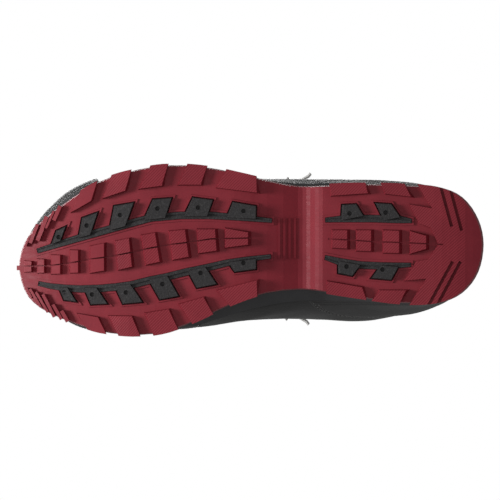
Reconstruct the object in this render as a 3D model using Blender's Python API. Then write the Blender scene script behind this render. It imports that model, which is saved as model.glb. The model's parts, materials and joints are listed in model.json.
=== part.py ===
"""Left lace-up winter boot with a lugged rubber outsole, as separate pieces.

Frame: +X towards the toe, +Y towards the outer side of the foot, +Z up. The
ground is z = 0 and the origin lies under the middle of the sole. Drawings are
in millimetres of the sample size; graded() brings them to the chosen size.
"""

import math

import bmesh
import bpy
import numpy as np

MM = 0.001

# Overall sizes, and the sample size that the drawings below are made in.
SOLE_LENGTH = 300.0
SOLE_WIDTH = 111.0
COLLAR_HEIGHT = 172.0
SAMPLE_LENGTH = 300.0
SAMPLE_WIDTH = 111.0
SAMPLE_COLLAR_HEIGHT = 172.0
SAMPLE_DATUM = 23.8

# Sole.
TREAD_DEPTH = 4.5
SOLE_EDGE_INSET = 1.8
LUG_SPREAD = 0.9
LUG_LEAN = 2.0
LUG_ROOT = 1.2
LUG_BURY = 3.5
PLATE_BEVEL = 2.4
GROOVE_WIDTH = 2.0
GROOVE_DEPTH = 3.2
SIPE_WIDTH = 0.9
SIPE_ROOT = 0.5
MARK_RIB_WIDTH = 1.6
MARK_RIB_HEIGHT = 0.8
STRIP_SEAT_DEPTH = 1.6
STRIP_LIP = 0.4
BORDER_WIDTH = 1.3
BORDER_RISE = 1.0
RAIL_WIDTH = 4.4
RAIL_DROP = 2.3
RAIL_GROOVE = 1.1
POD_OFFSET = 0.12
POD_SLOPE = 0.7
POD_CHAMFER = 1.0
DIMPLE_RADIUS = 1.5
DIMPLE_DEPTH = 1.6
MIDSOLE_RIM = 3.0
SHANK_LENGTH = 96.0
SHANK_WIDTH = 15.0
SHANK_THICKNESS = 1.4
BOARD_THICKNESS = 2.5
FOOTBED_THICKNESS = 4.0

# Upper.
LEATHER = 1.8
LINING = 2.0
STIFFENER = 1.2
COLLAR_BULGE = 1.4
TONGUE_THICKNESS = 4.0
TONGUE_CROWN = 6.4
EYESTAY_WIDTH = 24.0
BACKSTAY_HALF_WIDTH = 12.0

# Metalwork and lace.
RING_WIRE = 2.0
RING_WIDTH = 13.0
RING_REACH = 9.5
CLIP_WIDTH = 6.0
CLIP_LENGTH = 12.0
CLIP_SHEET = 1.0
RIVET_HEAD_RADIUS = 2.4
RIVET_SHANK_RADIUS = 1.3
HOOK_SHEET = 0.9
HOOK_WIDTH = 6.5
HOOK_REACH = 5.1

# Clearances: between neighbours, and between curved layers of the upper.
GAP = 0.3
LAYER_GAP = 0.7

RED_RUBBER = ("red_rubber", (0.20, 0.023, 0.033), 0.55, 0.0)
BLACK_RUBBER = ("black_rubber", (0.05, 0.05, 0.052), 0.6, 0.0)
MIDSOLE_FOAM = ("midsole_foam", (0.03, 0.03, 0.032), 0.75, 0.0)
LEATHER_BLACK = ("black_leather", (0.034, 0.033, 0.033), 0.5, 0.0)
PADDING = ("padded_leather", (0.03, 0.03, 0.031), 0.6, 0.0)
LINING_CLOTH = ("lining_cloth", (0.09, 0.09, 0.095), 0.9, 0.0)
FIBRE_BOARD = ("fibre_board", (0.45, 0.36, 0.25), 0.9, 0.0)
WEBBING = ("webbing", (0.03, 0.03, 0.03), 0.85, 0.0)
STEEL = ("steel", (0.45, 0.45, 0.46), 0.35, 1.0)
NICKEL = ("nickel", (0.66, 0.65, 0.63), 0.25, 1.0)


# --- drawing helpers ---------------------------------------------------------


def pchip(knots, values):
    """A smooth curve through values[k] at knots[k] that adds no bumps."""
    x = np.asarray(knots, float)
    y = np.asarray(values, float)
    y = y.reshape(len(x), -1)
    h = np.diff(x)[:, None]
    d = np.diff(y, axis=0) / h
    m = np.zeros_like(y)
    same = d[:-1] * d[1:] > 0
    w1, w2 = 2 * h[1:] + h[:-1], h[1:] + 2 * h[:-1]
    safe = np.where(same, d[:-1] * d[1:], 1.0)
    blend = (w1 + w2) * safe / np.where(same, w1 * d[1:] + w2 * d[:-1], 1.0)
    m[1:-1] = np.where(same, blend, 0.0)
    m[0], m[-1] = d[0], d[-1]

    def curve(at):
        at = np.atleast_1d(np.asarray(at, float))
        i = np.clip(np.searchsorted(x, at) - 1, 0, len(x) - 2)
        hh = h[i]
        s = (at - x[i])[:, None] / hh
        inside = np.clip(s, 0, 1)
        a = 2 * inside**3 - 3 * inside**2 + 1
        b = inside**3 - 2 * inside**2 + inside
        c = -2 * inside**3 + 3 * inside**2
        e = inside**3 - inside**2
        value = a * y[i] + b * hh * m[i] + c * y[i + 1] + e * hh * m[i + 1]
        beyond = (s - inside) * hh
        return value + beyond * np.where(s > 1, m[i + 1], m[i])

    return curve


def profile(points):
    """f(x) through hand-set (x, value) points, x in sample millimetres."""
    curve = pchip([p[0] for p in points], [p[1] for p in points])
    return lambda x: curve(np.atleast_1d(x) * SAMPLE_LENGTH / SOLE_LENGTH)[:, 0]


def graded(points):
    """Drawing points (x, y) brought to the chosen length and width."""
    scale = (SOLE_LENGTH / SAMPLE_LENGTH, SOLE_WIDTH / SAMPLE_WIDTH)
    return np.asarray(points, float) * scale


def closed_curve(points, steps):
    """A smooth closed curve through the points, steps to a span."""
    p = graded(points)
    a, b, c, d = (np.roll(p, k, axis=0)[:, None] for k in (1, 0, -1, -2))
    s = np.linspace(0, 1, steps, endpoint=False)[None, :, None]
    return 0.5 * (
        2 * b + (c - a) * s + (2 * a - 5 * b + 4 * c - d) * s**2 + (3 * b - a - 3 * c + d) * s**3
    ).reshape(-1, 2)


def inset(curve, distance):
    """The closed counter-clockwise curve moved inwards."""
    along = np.roll(curve, -1, axis=0) - np.roll(curve, 1, axis=0)
    along /= np.linalg.norm(along, axis=1)[:, None]
    return curve + distance * np.stack([-along[:, 1], along[:, 0]], axis=1)


def grown(corners, distance):
    """The counter-clockwise polygon with each side moved outwards."""
    p = np.asarray(corners, float)
    side = np.roll(p, -1, axis=0) - p
    side /= np.linalg.norm(side, axis=1)[:, None]
    out = np.stack([side[:, 1], -side[:, 0]], axis=1)
    before = np.roll(out, 1, axis=0)
    return p + distance * (out + before) / (1 + (out * before).sum(1))[:, None]


def counter_clockwise(corners):
    p = np.asarray(corners, float)
    q = np.roll(p, -1, axis=0)
    area = (p[:, 0] * q[:, 1] - q[:, 0] * p[:, 1]).sum()
    return p if area > 0 else p[::-1]


def halves(curve, fractions):
    """(x, outer y, inner y) of a closed curve at shares of its length."""
    lo, hi = curve[:, 0].argmin(), curve[:, 0].argmax()
    turned = np.roll(curve, -lo, axis=0)
    top = (hi - lo) % len(curve)
    one, two = turned[: top + 1], np.vstack([turned[top:], turned[:1]])[::-1]
    x = curve[lo, 0] + (curve[hi, 0] - curve[lo, 0]) * np.asarray(fractions)
    ys = [np.interp(x, half[:, 0], half[:, 1]) for half in (one, two)]
    outer, inner = sorted(ys, key=lambda y: -y.mean())
    return x, outer, inner


# --- mesh helpers ------------------------------------------------------------


def material(spec):
    name, colour, roughness, metallic = spec
    found = bpy.data.materials.get(name)
    if found:
        return found
    made = bpy.data.materials.new(name)
    made.use_nodes = True
    shader = made.node_tree.nodes["Principled BSDF"]
    shader.inputs["Base Color"].default_value = (*colour, 1.0)
    shader.inputs["Roughness"].default_value = roughness
    shader.inputs["Metallic"].default_value = metallic
    return made


def solid(name, points, faces, spec, origin=(0, 0, 0)):
    """An object from points in millimetres, its faces turned outwards."""
    mesh = bpy.data.meshes.new(name)
    at = np.asarray(origin, float)
    mesh.from_pydata(((np.asarray(points) - at) * MM).tolist(), [], faces)
    work = bmesh.new()
    work.from_mesh(mesh)
    bmesh.ops.recalc_face_normals(work, faces=work.faces)
    bmesh.ops.triangulate(work, faces=work.faces)
    work.to_mesh(mesh)
    work.free()
    obj = bpy.data.objects.new(name, mesh)
    obj.location = at * MM
    bpy.context.scene.collection.objects.link(obj)
    if spec:
        mesh.materials.append(material(spec))
    return obj


def boolean(target, cutter, operation):
    """Apply a Boolean to target and delete the cutter."""
    cutter.hide_render = True
    cutter.display_type = "WIRE"
    step = target.modifiers.new(operation, "BOOLEAN")
    step.operation = operation
    step.solver = "EXACT"
    step.object = cutter
    bpy.context.view_layer.update()
    ready = target.evaluated_get(bpy.context.evaluated_depsgraph_get())
    mesh = bpy.data.meshes.new_from_object(ready)
    old = target.data
    target.modifiers.clear()
    target.data = mesh
    mesh.name = target.name
    bpy.data.meshes.remove(old)
    bpy.data.meshes.remove(cutter.data)


def simplify(obj):
    """Join the faces that lie in one plane."""
    work = bmesh.new()
    work.from_mesh(obj.data)
    bmesh.ops.dissolve_limit(work, angle_limit=0.002, verts=work.verts, edges=work.edges)
    bmesh.ops.triangulate(work, faces=work.faces)
    work.to_mesh(obj.data)
    work.free()


def shells(parts):
    """Points and faces of several closed bodies put in one list."""
    points, faces = [], []
    for body_points, body_faces in parts:
        base = len(points)
        points.extend(map(tuple, body_points))
        faces.extend([base + i for i in face] for face in body_faces)
    return points, faces


def gathered(objects):
    """Bodies that don't touch, taken together as one object."""
    bodies = []
    for obj in objects:
        points = [tuple(v.co / MM) for v in obj.data.vertices]
        bodies.append((points, [tuple(face.vertices) for face in obj.data.polygons]))
        bpy.data.objects.remove(obj, do_unlink=True)
    return solid("gathered", *shells(bodies), None)


def prism(low, high, z_low, z_high):
    """A body between a lower and an upper polygon with the same corners."""
    n = len(low)
    bottom = [(x, y, z) for (x, y), z in zip(low, np.broadcast_to(z_low, n))]
    top = [(x, y, z) for (x, y), z in zip(high, np.broadcast_to(z_high, n))]
    walls = [(i, (i + 1) % n, n + (i + 1) % n, n + i) for i in range(n)]
    return bottom + top, [tuple(range(n))[::-1], tuple(range(n, 2 * n)), *walls]


def bar(left, right, low, high):
    """A body between two lines of points, with z from low(x) and high(x)."""
    left, right = np.asarray(left, float), np.asarray(right, float)
    n = len(left)
    rows = []
    for line in (left, right):
        for height in (low, high):
            rows.append(np.column_stack([line, height(line[:, 0])]))
    points = np.vstack(rows)
    ll, lh, rl, rh = (np.arange(n) + k * n for k in range(4))
    faces = [(ll[0], lh[0], rh[0], rl[0]), (ll[-1], rl[-1], rh[-1], lh[-1])]
    for i in range(n - 1):
        j = i + 1
        faces += [
            (ll[i], ll[j], lh[j], lh[i]),
            (rl[i], rh[i], rh[j], rl[j]),
            (ll[i], rl[i], rl[j], ll[j]),
            (lh[i], lh[j], rh[j], rh[i]),
        ]
    return points, [tuple(int(i) for i in face) for face in faces]


def plate(rings, fractions):
    """A body through (closed curve, z(x)) rings, capped at both ends."""
    n = len(fractions)
    count = 2 * n - 2
    points, faces = [], []
    for curve, height in rings:
        x, outer, inner = halves(curve, fractions)
        z = height(x)
        loop = [(x[i], outer[i], z[i]) for i in range(n)]
        loop += [(x[i], inner[i], z[i]) for i in range(n - 2, 0, -1)]
        points += loop
    for k in range(len(rings) - 1):
        a, b = k * count, (k + 1) * count
        for i in range(count):
            j = (i + 1) % count
            faces.append((a + i, a + j, b + j, b + i))
    for k, turn in ((0, 1), (len(rings) - 1, -1)):
        base = k * count
        for i in range(n - 1):
            quad = [base + i, base + i + 1, base + (count - i - 1) % count, base + (count - i) % count]
            kept = list(dict.fromkeys(quad))
            faces.append(tuple(kept[::turn]))
    return points, faces


# --- the sole's heights ------------------------------------------------------

# Underside of the sheet between the lugs, less the tread's depth.
sheet_rise = profile(
    [(-150, 7), (-135, 2.5), (-120, 0), (-47, 0), (-44.5, 0.6), (-36.5, 7.8), (-34, 8.3)]
    + [(-20, 4.6), (0, 1), (20, 0), (60, 0), (90, 2.5), (110, 5.5), (130, 10.5), (150, 19.5)]
)
tread_rise = profile(
    [(-150, 5.5), (-135, 1.6), (-118, 0), (72, 0), (90, 2.2), (110, 5.4), (130, 10.6), (150, 20)]
)
plate_rise = profile(
    [(-150, 15.5), (-120, 12.5), (-60, 11.5), (-35, 13), (-10, 10.5), (20, 6), (60, 5.3)]
    + [(90, 8), (110, 11.5), (130, 16.5), (150, 24)]
)
midsole_thickness = profile(
    [(-150, 15), (-50, 15.5), (20, 13), (90, 11), (125, 9), (150, 6.5)]
)


def sheet(x):
    return TREAD_DEPTH + sheet_rise(x)


def tread(x):
    return tread_rise(x)


def outsole_top(x):
    return TREAD_DEPTH + plate_rise(x)


def feather(x):
    """Height of the line where the upper meets the sole."""
    return outsole_top(x) + GAP + midsole_thickness(x)


# --- outsole -----------------------------------------------------------------

SOLE_OUTLINE = closed_curve(
    [(-150, 3.5), (-146.5, -14.4), (-136.2, -27.9), (-120.8, -34.3), (-100, -35.2), (-80, -33)]
    + [(-59.3, -29.8), (-33, -26.4), (-8, -29.2), (12.5, -36.2), (33, -45.8), (53.5, -53.5)]
    + [(73, -55.6), (94, -53.8), (109.9, -49.2), (125.3, -43.4), (138, -36.2), (145.8, -26.6)]
    + [(149.6, -10.6), (145.8, 5.4), (135.6, 18.3), (120.2, 30.4), (99.7, 43.6), (79.2, 51)]
    + [(54, 55.4), (27.9, 54.2), (2.2, 49), (-18.3, 44.2), (-35, 42.1), (-70, 43.3)]
    + [(-100, 42.6), (-120.8, 40.7), (-136.2, 34.3), (-146.5, 20)],
    6,
)

# Edge lugs: inner front corner, inner back corner, outer front x, outer back x.
OUTER_LUGS = [
    ((113.8, 25.3), (102.2, 31.7), 108.6, 97.8),
    ((93.9, 33.7), (80.4, 38.1), 88.8, 76.0),
    ((70.8, 39.4), (56.7, 41.3), 63.8, 52.2),
    ((45.8, 42.0), (31.7, 42.0), 40.1, 27.2),
    ((21.5, 40.1), (-4.2, 36.9), 15.1, -4.2),
    ((-52.2, 34.9), (-75.3, 36.5), -50.9, -74.0),
    ((-86.9, 36.2), (-102.9, 34.3), -83.7, -99.0),
]
INNER_LUGS = [
    ((109.9, -41.3), (97.8, -43.3), 104.2, 92.0),
    ((90.1, -42.6), (76.0, -42.6), 84.3, 70.2),
    ((67.0, -40.7), (52.2, -38.1), 61.9, 45.8),
    ((45.2, -34.9), (29.8, -30.4), 36.9, 23.4),
    ((20.8, -26.0), (-4.2, -19.6), 12.5, -4.8),
    ((-49.7, -20.2), (-71.5, -24.0), -49.0, -74.7),
    ((-83.0, -26.0), (-99.7, -26.0), -77.9, -95.8),
]
# Toe ribs: inner end, outer end and width.
TOE_RIBS = [
    ((144.3, 2.5), (141.8, 8.5), 1.2),
    ((141.3, 4.5), (136.5, 16.5), 2.2),
    ((136.5, 6.0), (130.5, 21.5), 2.6),
    ((131.0, 14.0), (126.0, 25.0), 1.4),
    ((126.0, 19.0), (121.8, 28.3), 2.4),
    ((143.6, -24.4), (140.4, -30.6), 1.2),
    ((141.5, -25.0), (134.5, -36.5), 1.6),
    ((137.5, -27.0), (129.8, -40.0), 1.6),
    ((133.0, -28.5), (125.6, -43.0), 2.0),
    ((126.5, -35.0), (121.0, -44.5), 2.0),
    ((121.0, -39.0), (117.0, -46.0), 2.4),
]
# Centre lugs, forefoot and heel: front x, back x, then the outer and inner y
# of the front edge and of the back edge, and how far the inner end leans back.
CENTRE_LUGS = [
    (144.5, 140.7, (-7.4, -13.8), (-7.4, -13.8), 0.0),
    (136.2, 132.4, (-6.1, -14.4), (-6.1, -14.4), 0.0),
    (127.2, 122.1, (-3.5, -15.1), (-3.5, -15.1), 0.0),
    (115.1, 110.6, (-0.3, -14.4), (-0.3, -14.4), 0.0),
    (102.2, 93.9, (2.2, -14.4), (4.2, -13.1), 0.0),
    (86.2, 77.9, (5.4, -12.5), (7.4, -10.6), 1.9),
    (69.5, 61.2, (9.3, -9.3), (10.9, -7.4), 3.0),
    (51.6, 42.0, (11.9, -6.1), (12.8, -4.2), 2.3),
    (33.7, 22.8, (13.1, -1.9), (13.1, -0.3), 1.0),
    (15.7, 1.6, (13.8, 1.6), (11.2, 3.5), 0.0),
    (-52.9, -61.9, (12.5, 1.6), (12.5, 1.0), 0.0),
    (-68.3, -77.2, (12.5, -0.3), (12.5, -0.6), 0.0),
    (-85.6, -95.2, (12.5, -1.6), (12.2, -1.8), 0.0),
    (-102.9, -112.5, (11.9, -2.2), (9.0, 0.8), 0.0),
]
SIPES = [
    [(149.7, -10.6), (128, -10), (115, -8.3), (102, -5.8), (89.4, -4.2), (76.6, -1.6)]
    + [(63.8, 1.3), (51, 3.5), (38.1, 5.1), (25.3, 7.1), (-1, 7.7)],
    [(-50, 7.1), (-64.4, 6.4), (-78.5, 5.4), (-96.5, 4.8), (-124, 3.5)],
]
HEEL_PLATE_FRONT = [
    (-107.4, 44), (-107.4, 42), (-112.5, 33), (-117, 26.6), (-102.2, 29.2), (-108.6, 17),
    (-115.7, 14.4), (-120.8, 3.8), (-114.4, -6.1), (-106.7, -7.4), (-99, -19.6),
    (-113.1, -18.3), (-102.2, -34.9), (-102.2, -37),
]
HEEL_GROOVES = [
    ((-120.8, 46), (-129.2, 15.1)),
    ((-126.6, 46), (-135.6, 12.5)),
    ((-129.8, -7.4), (-112.5, -39)),
    ((-134.9, -7.4), (-117.5, -40)),
]
MARK_RIBS_X = (-18.6, -22.0, -25.4, -28.8)
MARK_RIBS_Y = (20.5, -5.5)
TOE_NUB = ((144.0, -11.5), (150.0, -11.5), 3.0)


def edge_y(x, side):
    """The sole outline's y at x, on the outer (+1) or the inner (-1) side."""
    xs, outer, inner = halves(SOLE_OUTLINE, np.linspace(0, 1, 400))
    return float(np.interp(x, xs, outer if side > 0 else inner))


def edge_lug(lug, side):
    """Corners of a lug whose outer side follows the sole outline."""
    front, back = graded(lug[:2])
    out_front, out_back = graded([(lug[2], 0), (lug[3], 0)])[:, 0]
    outer = [(x, edge_y(x, side)) for x in np.linspace(out_back, out_front, 4)]
    return counter_clockwise([tuple(front), tuple(back), *outer])


def rib(start, end, width):
    """Corners of a straight rib between two points."""
    a, b = graded([start, end])
    along = (b - a) / np.linalg.norm(b - a)
    across = np.array([-along[1], along[0]]) * width / 2
    return counter_clockwise([a + across, b + across, b - across, a - across])


def centre_lug(lug):
    front, back, front_y, back_y, lean = lug
    corners = [(front, front_y[0]), (back, back_y[0]), (back - lean, back_y[1])]
    return counter_clockwise(graded([*corners, (front - lean, front_y[1])]))


def sole_stations():
    """Shares of the length where the sole's cross-sections are taken."""
    ends = (1 - np.cos(np.linspace(0, math.pi, 45))) / 2
    breast = (np.array([-49, -47, -44.5, -42, -39, -36.5, -34, -31]) + 150) / SAMPLE_LENGTH
    away = [f for f in ends if np.abs(f - breast).min() > 0.006]
    return np.sort(np.concatenate([away, breast]))


def cross_cut(low, high):
    """A wide slab between two heights, for trimming the lugs to the tread."""
    half = np.array([0.56, 1.0]) * (SOLE_LENGTH, SOLE_WIDTH)
    x = np.linspace(-half[0], half[0], 68)
    return bar(np.column_stack([x, x * 0 + half[1]]), np.column_stack([x, x * 0 - half[1]]), low, high)


def heel_plate():
    """Corners of the rear heel plate, zigzag in front and round behind."""
    front = graded(HEEL_PLATE_FRONT)
    x, outer, inner = halves(SOLE_OUTLINE, (1 - np.cos(np.linspace(0, math.pi, 60))) / 2)
    rear_o = [(a, b) for a, b in zip(x, outer) if a < front[0, 0] - 1]
    rear_i = [(a, b) for a, b in zip(x, inner) if a < front[-1, 0] - 1]
    front[0] = (front[0, 0], edge_y(front[0, 0], 1))
    front[-1] = (front[-1, 0], edge_y(front[-1, 0], -1))
    keep = [tuple(p) for p in front[[0, *range(2, len(front) - 2), -1]]]
    return counter_clockwise([*keep, *rear_i[::-1], *rear_o[1:]])


def from_outline(points):
    """Distances of points from the sole's outline."""
    start = SOLE_OUTLINE
    side = np.roll(start, -1, axis=0) - start
    away = points[:, None] - start
    share = np.clip((away * side).sum(2) / (side * side).sum(1), 0, 1)
    return np.linalg.norm(away - share[..., None] * side, axis=2).min(1)


def lug_body(corners, spread=LUG_SPREAD, lean=LUG_LEAN, bevel=0.2):
    """A lug with sloping walls, longest on its side towards the heel, and
    bevelled where that side meets the sole's edge."""
    p = np.asarray(corners, float)
    out = grown(p, 1.0) - p
    backwards = np.clip(-out[:, 0], 0, 1)
    foot = p + spread * out
    foot[:, 0] -= lean * backwards
    on_edge = from_outline(p) < 0.1
    foot[on_edge] = p[on_edge]
    top = p - (bevel * backwards * on_edge)[:, None] * out
    return prism(top, foot, tread(top[:, 0]).min() - 0.6, sheet(foot[:, 0]).max() + LUG_ROOT)


def lug_field():
    """Every lug and rib of the outsole, each with its root in the sheet."""
    bodies = [lug_body(edge_lug(lug, 1)) for lug in OUTER_LUGS]
    bodies += [lug_body(edge_lug(lug, -1)) for lug in INNER_LUGS]
    bodies += [lug_body(rib(*toe_rib), 0.0, 0.2) for toe_rib in TOE_RIBS]
    bodies += [lug_body(centre_lug(lug)) for lug in CENTRE_LUGS]
    bodies.append(lug_body(heel_plate(), 0.7, 0.0, PLATE_BEVEL))
    return bodies


def line_cut(p, width, height):
    """A narrow upright body along a line, from below the tread to height(x)."""
    along = np.gradient(p, axis=0)
    along /= np.linalg.norm(along, axis=1)[:, None]
    across = np.stack([-along[:, 1], along[:, 0]], axis=1) * width / 2
    return bar(p + across, p - across, lambda x: x * 0 - 10.0, height)


def mark_ribs():
    """The low ribs of the waist pad, and the nub at the tip of the toe."""
    nub = rib(*TOE_NUB)
    base = sheet(nub[:, 0]) + 0.8
    bodies = [prism(nub, nub, base, base + 2.2)]
    for x in MARK_RIBS_X:
        corners = rib((x, MARK_RIBS_Y[0]), (x, MARK_RIBS_Y[1]), MARK_RIB_WIDTH)
        low = sheet(corners[:, 0]) - MARK_RIB_HEIGHT
        bodies.append(prism(corners, corners, low, low + MARK_RIB_HEIGHT + 1.5))
    return bodies


def make_outsole():
    """The sheet with its lugs and borders on, and its seats and cuts out."""
    rings = [
        (inset(SOLE_OUTLINE, SOLE_EDGE_INSET), sheet),
        (inset(SOLE_OUTLINE, SOLE_EDGE_INSET * 0.6), outsole_top),
    ]
    outsole = solid("outsole", *plate(rings, sole_stations()), RED_RUBBER)
    lugs = solid("lug_field", *shells(lug_field()), None)
    trim = solid("trim", *cross_cut(tread, lambda x: sheet(x) + LUG_BURY), None)
    boolean(lugs, trim, "INTERSECT")
    raised = gathered([strip_border(name) for name in STRIPS])
    boolean(raised, lugs, "UNION")
    boolean(outsole, raised, "UNION")
    boolean(outsole, solid("marks", *shells(mark_ribs()), None), "UNION")
    cuts = [line_cut(graded(g), GROOVE_WIDTH, lambda x: tread(x) + GROOVE_DEPTH) for g in HEEL_GROOVES]
    cuts += [line_cut(graded(s), SIPE_WIDTH, lambda x: sheet(x) + SIPE_ROOT) for s in SIPES]
    seats = gathered([strip_seat(name) for name in STRIPS])
    boolean(seats, solid("cuts", *shells(cuts), None), "UNION")
    boolean(outsole, seats, "DIFFERENCE")
    simplify(outsole)


# --- traction strips ---------------------------------------------------------

# Each strip: the rail's edge next to the centre lugs, which side the pods are
# on, and the pods as outer front, outer back, inner back, inner front, dimple.
STRIPS = {
    "traction_strip_fore_outer": (
        [(136.2, -1.9), (120.2, 2.6), (102.2, 7.7), (83, 13.1), (63.8, 18.3), (44.6, 20)]
        + [(25.3, 20), (6.1, 18.9), (-13.8, 17.6)],
        1,
        [
            ((124.7, 12.5), (117.6, 15.7), (121.5, 5.4), (127.9, 3.5), (122.8, 8.3)),
            ((108, 20.8), (97.1, 24.7), (102.2, 9.3), (110.6, 7.4), (104.8, 15.7)),
            ((87.5, 28.5), (74, 30.8), (79.8, 14.8), (90.7, 12.2), (83.3, 22.4)),
            ((62.5, 32.7), (49.7, 33.7), (54.2, 20.0), (68.9, 18.6), (59.3, 26.6)),
            ((36.9, 34), (23.4, 32.4), (27.2, 21.0), (43.3, 21), (33.3, 27.2)),
            ((11.2, 31.1), (-4.2, 28.5), (-4.2, 19.4), (15.7, 20.4), (4.2, 25)),
        ],
    ),
    "traction_strip_fore_inner": (
        [(135.6, -20.2), (127.9, -21.5), (118.3, -22.4), (108.6, -22.8), (95.8, -22.4)]
        + [(86.2, -21.5), (76.6, -20.2), (65.1, -17.3), (54.2, -15.1), (41.3, -11.9)]
        + [(28.5, -9.3), (15.7, -6.4), (2.9, -4.5), (-13.1, -2.9)],
        -1,
        [
            ((119.6, -32.4), (110.6, -33.7), (117, -23.6), (123.4, -23.4), (119.2, -27.2)),
            ((102.2, -35.3), (90.7, -34.9), (98.4, -23.6), (107.4, -23.6), (101.3, -28.5)),
            ((81.7, -34.9), (68.3, -33.7), (76.6, -21.4), (87.5, -22.6), (79.5, -27.2)),
            ((58, -32.1), (45.2, -29.8), (52.9, -16.0), (65.7, -18.6), (56.1, -21.8)),
            ((34.3, -24.7), (20.8, -22.1), (28.5, -10.4), (40.7, -12.9), (31.7, -14.7)),
            ((9.9, -14.4), (-4.2, -12.5), (-4.2, -5.2), (15.1, -7.4), (4.2, -8.3)),
        ],
    ),
    "traction_strip_heel_outer": (
        [(-48.4, 17.9), (-62, 17.9), (-77.2, 17.9), (-96.5, 17.3), (-103.5, 17.4)],
        1,
        [
            ((-58.7, 29.2), (-68.3, 29.8), (-73.4, 21.5), (-58, 18.6), (-63.8, 23.4)),
            ((-79.8, 30.4), (-90.7, 29.8), (-97.1, 20.5), (-85.6, 18.6), (-86.9, 24)),
        ],
    ),
    "traction_strip_heel_inner": (
        [(-48.4, -3.5), (-58, -5.4), (-70.8, -7.4), (-83.7, -8), (-103, -8.3)],
        -1,
        [
            ((-56.1, -15.1), (-65.7, -17), (-71.5, -9.3), (-56.1, -6.6), (-61.9, -10.6)),
            ((-77.2, -18.3), (-90.7, -19.6), (-95.8, -10.4), (-83.7, -9.4), (-84.9, -12.5)),
        ],
    ),
}


def rail_lines(edge, side):
    """The rail's two long sides: its given edge and the one by the pods."""
    p = graded(edge)
    share = np.linspace(0, 1, len(p))
    width = RAIL_WIDTH * np.interp(share, [0, 0.2, 0.8, 1], [0.6, 1, 1, 0.55])
    along = np.gradient(p, axis=0)
    along /= np.linalg.norm(along, axis=1)[:, None]
    away = np.stack([along[:, 1], -along[:, 0]], axis=1) * side
    return p, p + away * width[:, None]


def widened(a, b, distance):
    """Both lines moved apart, and lengthened at their ends."""
    across = (b - a) / np.linalg.norm(b - a, axis=1)[:, None]
    a, b = a - across * distance, b + across * distance
    for line in (a, b):
        for end, near in ((0, 1), (-1, -2)):
            step = line[end] - line[near]
            line[end] += step / np.linalg.norm(step) * distance
    return a, b


def strip_bodies(name, grow, low_rail, low_pod, high, slope=0.0, chamfer=0.0):
    """The rail's body and the pods' bodies, grown all round. The pods stand a
    little clear of the rail's faces, so that no two faces coincide."""
    edge, side, pods = STRIPS[name]
    a, b = rail_lines(edge, side)
    rail = bar(*widened(a.copy(), b.copy(), grow), low_rail, high)
    bodies = []
    for *corners, _ in pods:
        shape = counter_clockwise(graded(corners))
        high_face, low_face = grown(shape, grow + POD_OFFSET), grown(shape, grow + POD_OFFSET - slope)
        low_face[:, 0] -= chamfer * np.clip(grown(shape, 1.0) - shape, 0, 1)[:, 0]
        top = high(high_face[:, 0]) + (POD_OFFSET if grow else -POD_OFFSET)
        bodies.append(prism(low_face, high_face, low_pod(low_face[:, 0]), top))
    return rail, bodies


def strip_solid(label, name, spec, *shape):
    """One body from a strip's rail and its pods."""
    rail, bodies = strip_bodies(name, *shape)
    whole = solid(label, *rail, spec)
    boolean(whole, solid("pods", *shells(bodies), None), "UNION")
    return whole


def strip_border(name):
    """The raised rim round the strip's recess."""
    low, high = (lambda x: sheet(x) - BORDER_RISE), (lambda x: sheet(x) + LUG_ROOT)
    return strip_solid("border_" + name, name, None, GAP + BORDER_WIDTH, low, low, high, 0.3)


def strip_seat(name):
    """The cutter that leaves the strip's recess in the outsole."""
    mouth = lambda x: sheet(x) - TREAD_DEPTH * 2
    high = lambda x: sheet(x) + STRIP_SEAT_DEPTH
    return strip_solid("seat_" + name, name, None, GAP, mouth, mouth, high, -STRIP_LIP)


def make_strip(name):
    edge, side, pods = STRIPS[name]
    high = lambda x: sheet(x) + STRIP_SEAT_DEPTH - GAP
    rail, bodies = strip_bodies(name, 0.0, lambda x: tread(x) + RAIL_DROP, tread, high, POD_SLOPE, POD_CHAMFER)
    strip = solid(name, *rail, BLACK_RUBBER)
    a, b = rail_lines(edge, side)
    middle = a * 0.42 + b * 0.58
    groove = line_cut(middle, RAIL_GROOVE, lambda x: tread(x) + RAIL_DROP + RAIL_GROOVE * 0.8)
    boolean(strip, solid("groove", *groove, None), "DIFFERENCE")
    boolean(strip, solid("pods", *shells(bodies), None), "UNION")
    holes = []
    for *_, centre in pods:
        x, y = graded([centre])[0]
        turn = np.linspace(0, 2 * math.pi, 12, endpoint=False)
        ring = np.column_stack([x + DIMPLE_RADIUS * np.cos(turn), y + DIMPLE_RADIUS * np.sin(turn)])
        z = float(tread(x)[0])
        holes.append(prism(ring, ring, z - 3, z + DIMPLE_DEPTH))
    boolean(strip, solid("dimples", *shells(holes), None), "DIFFERENCE")
    simplify(strip)


# --- the last: the upper's outer surface -------------------------------------

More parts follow.
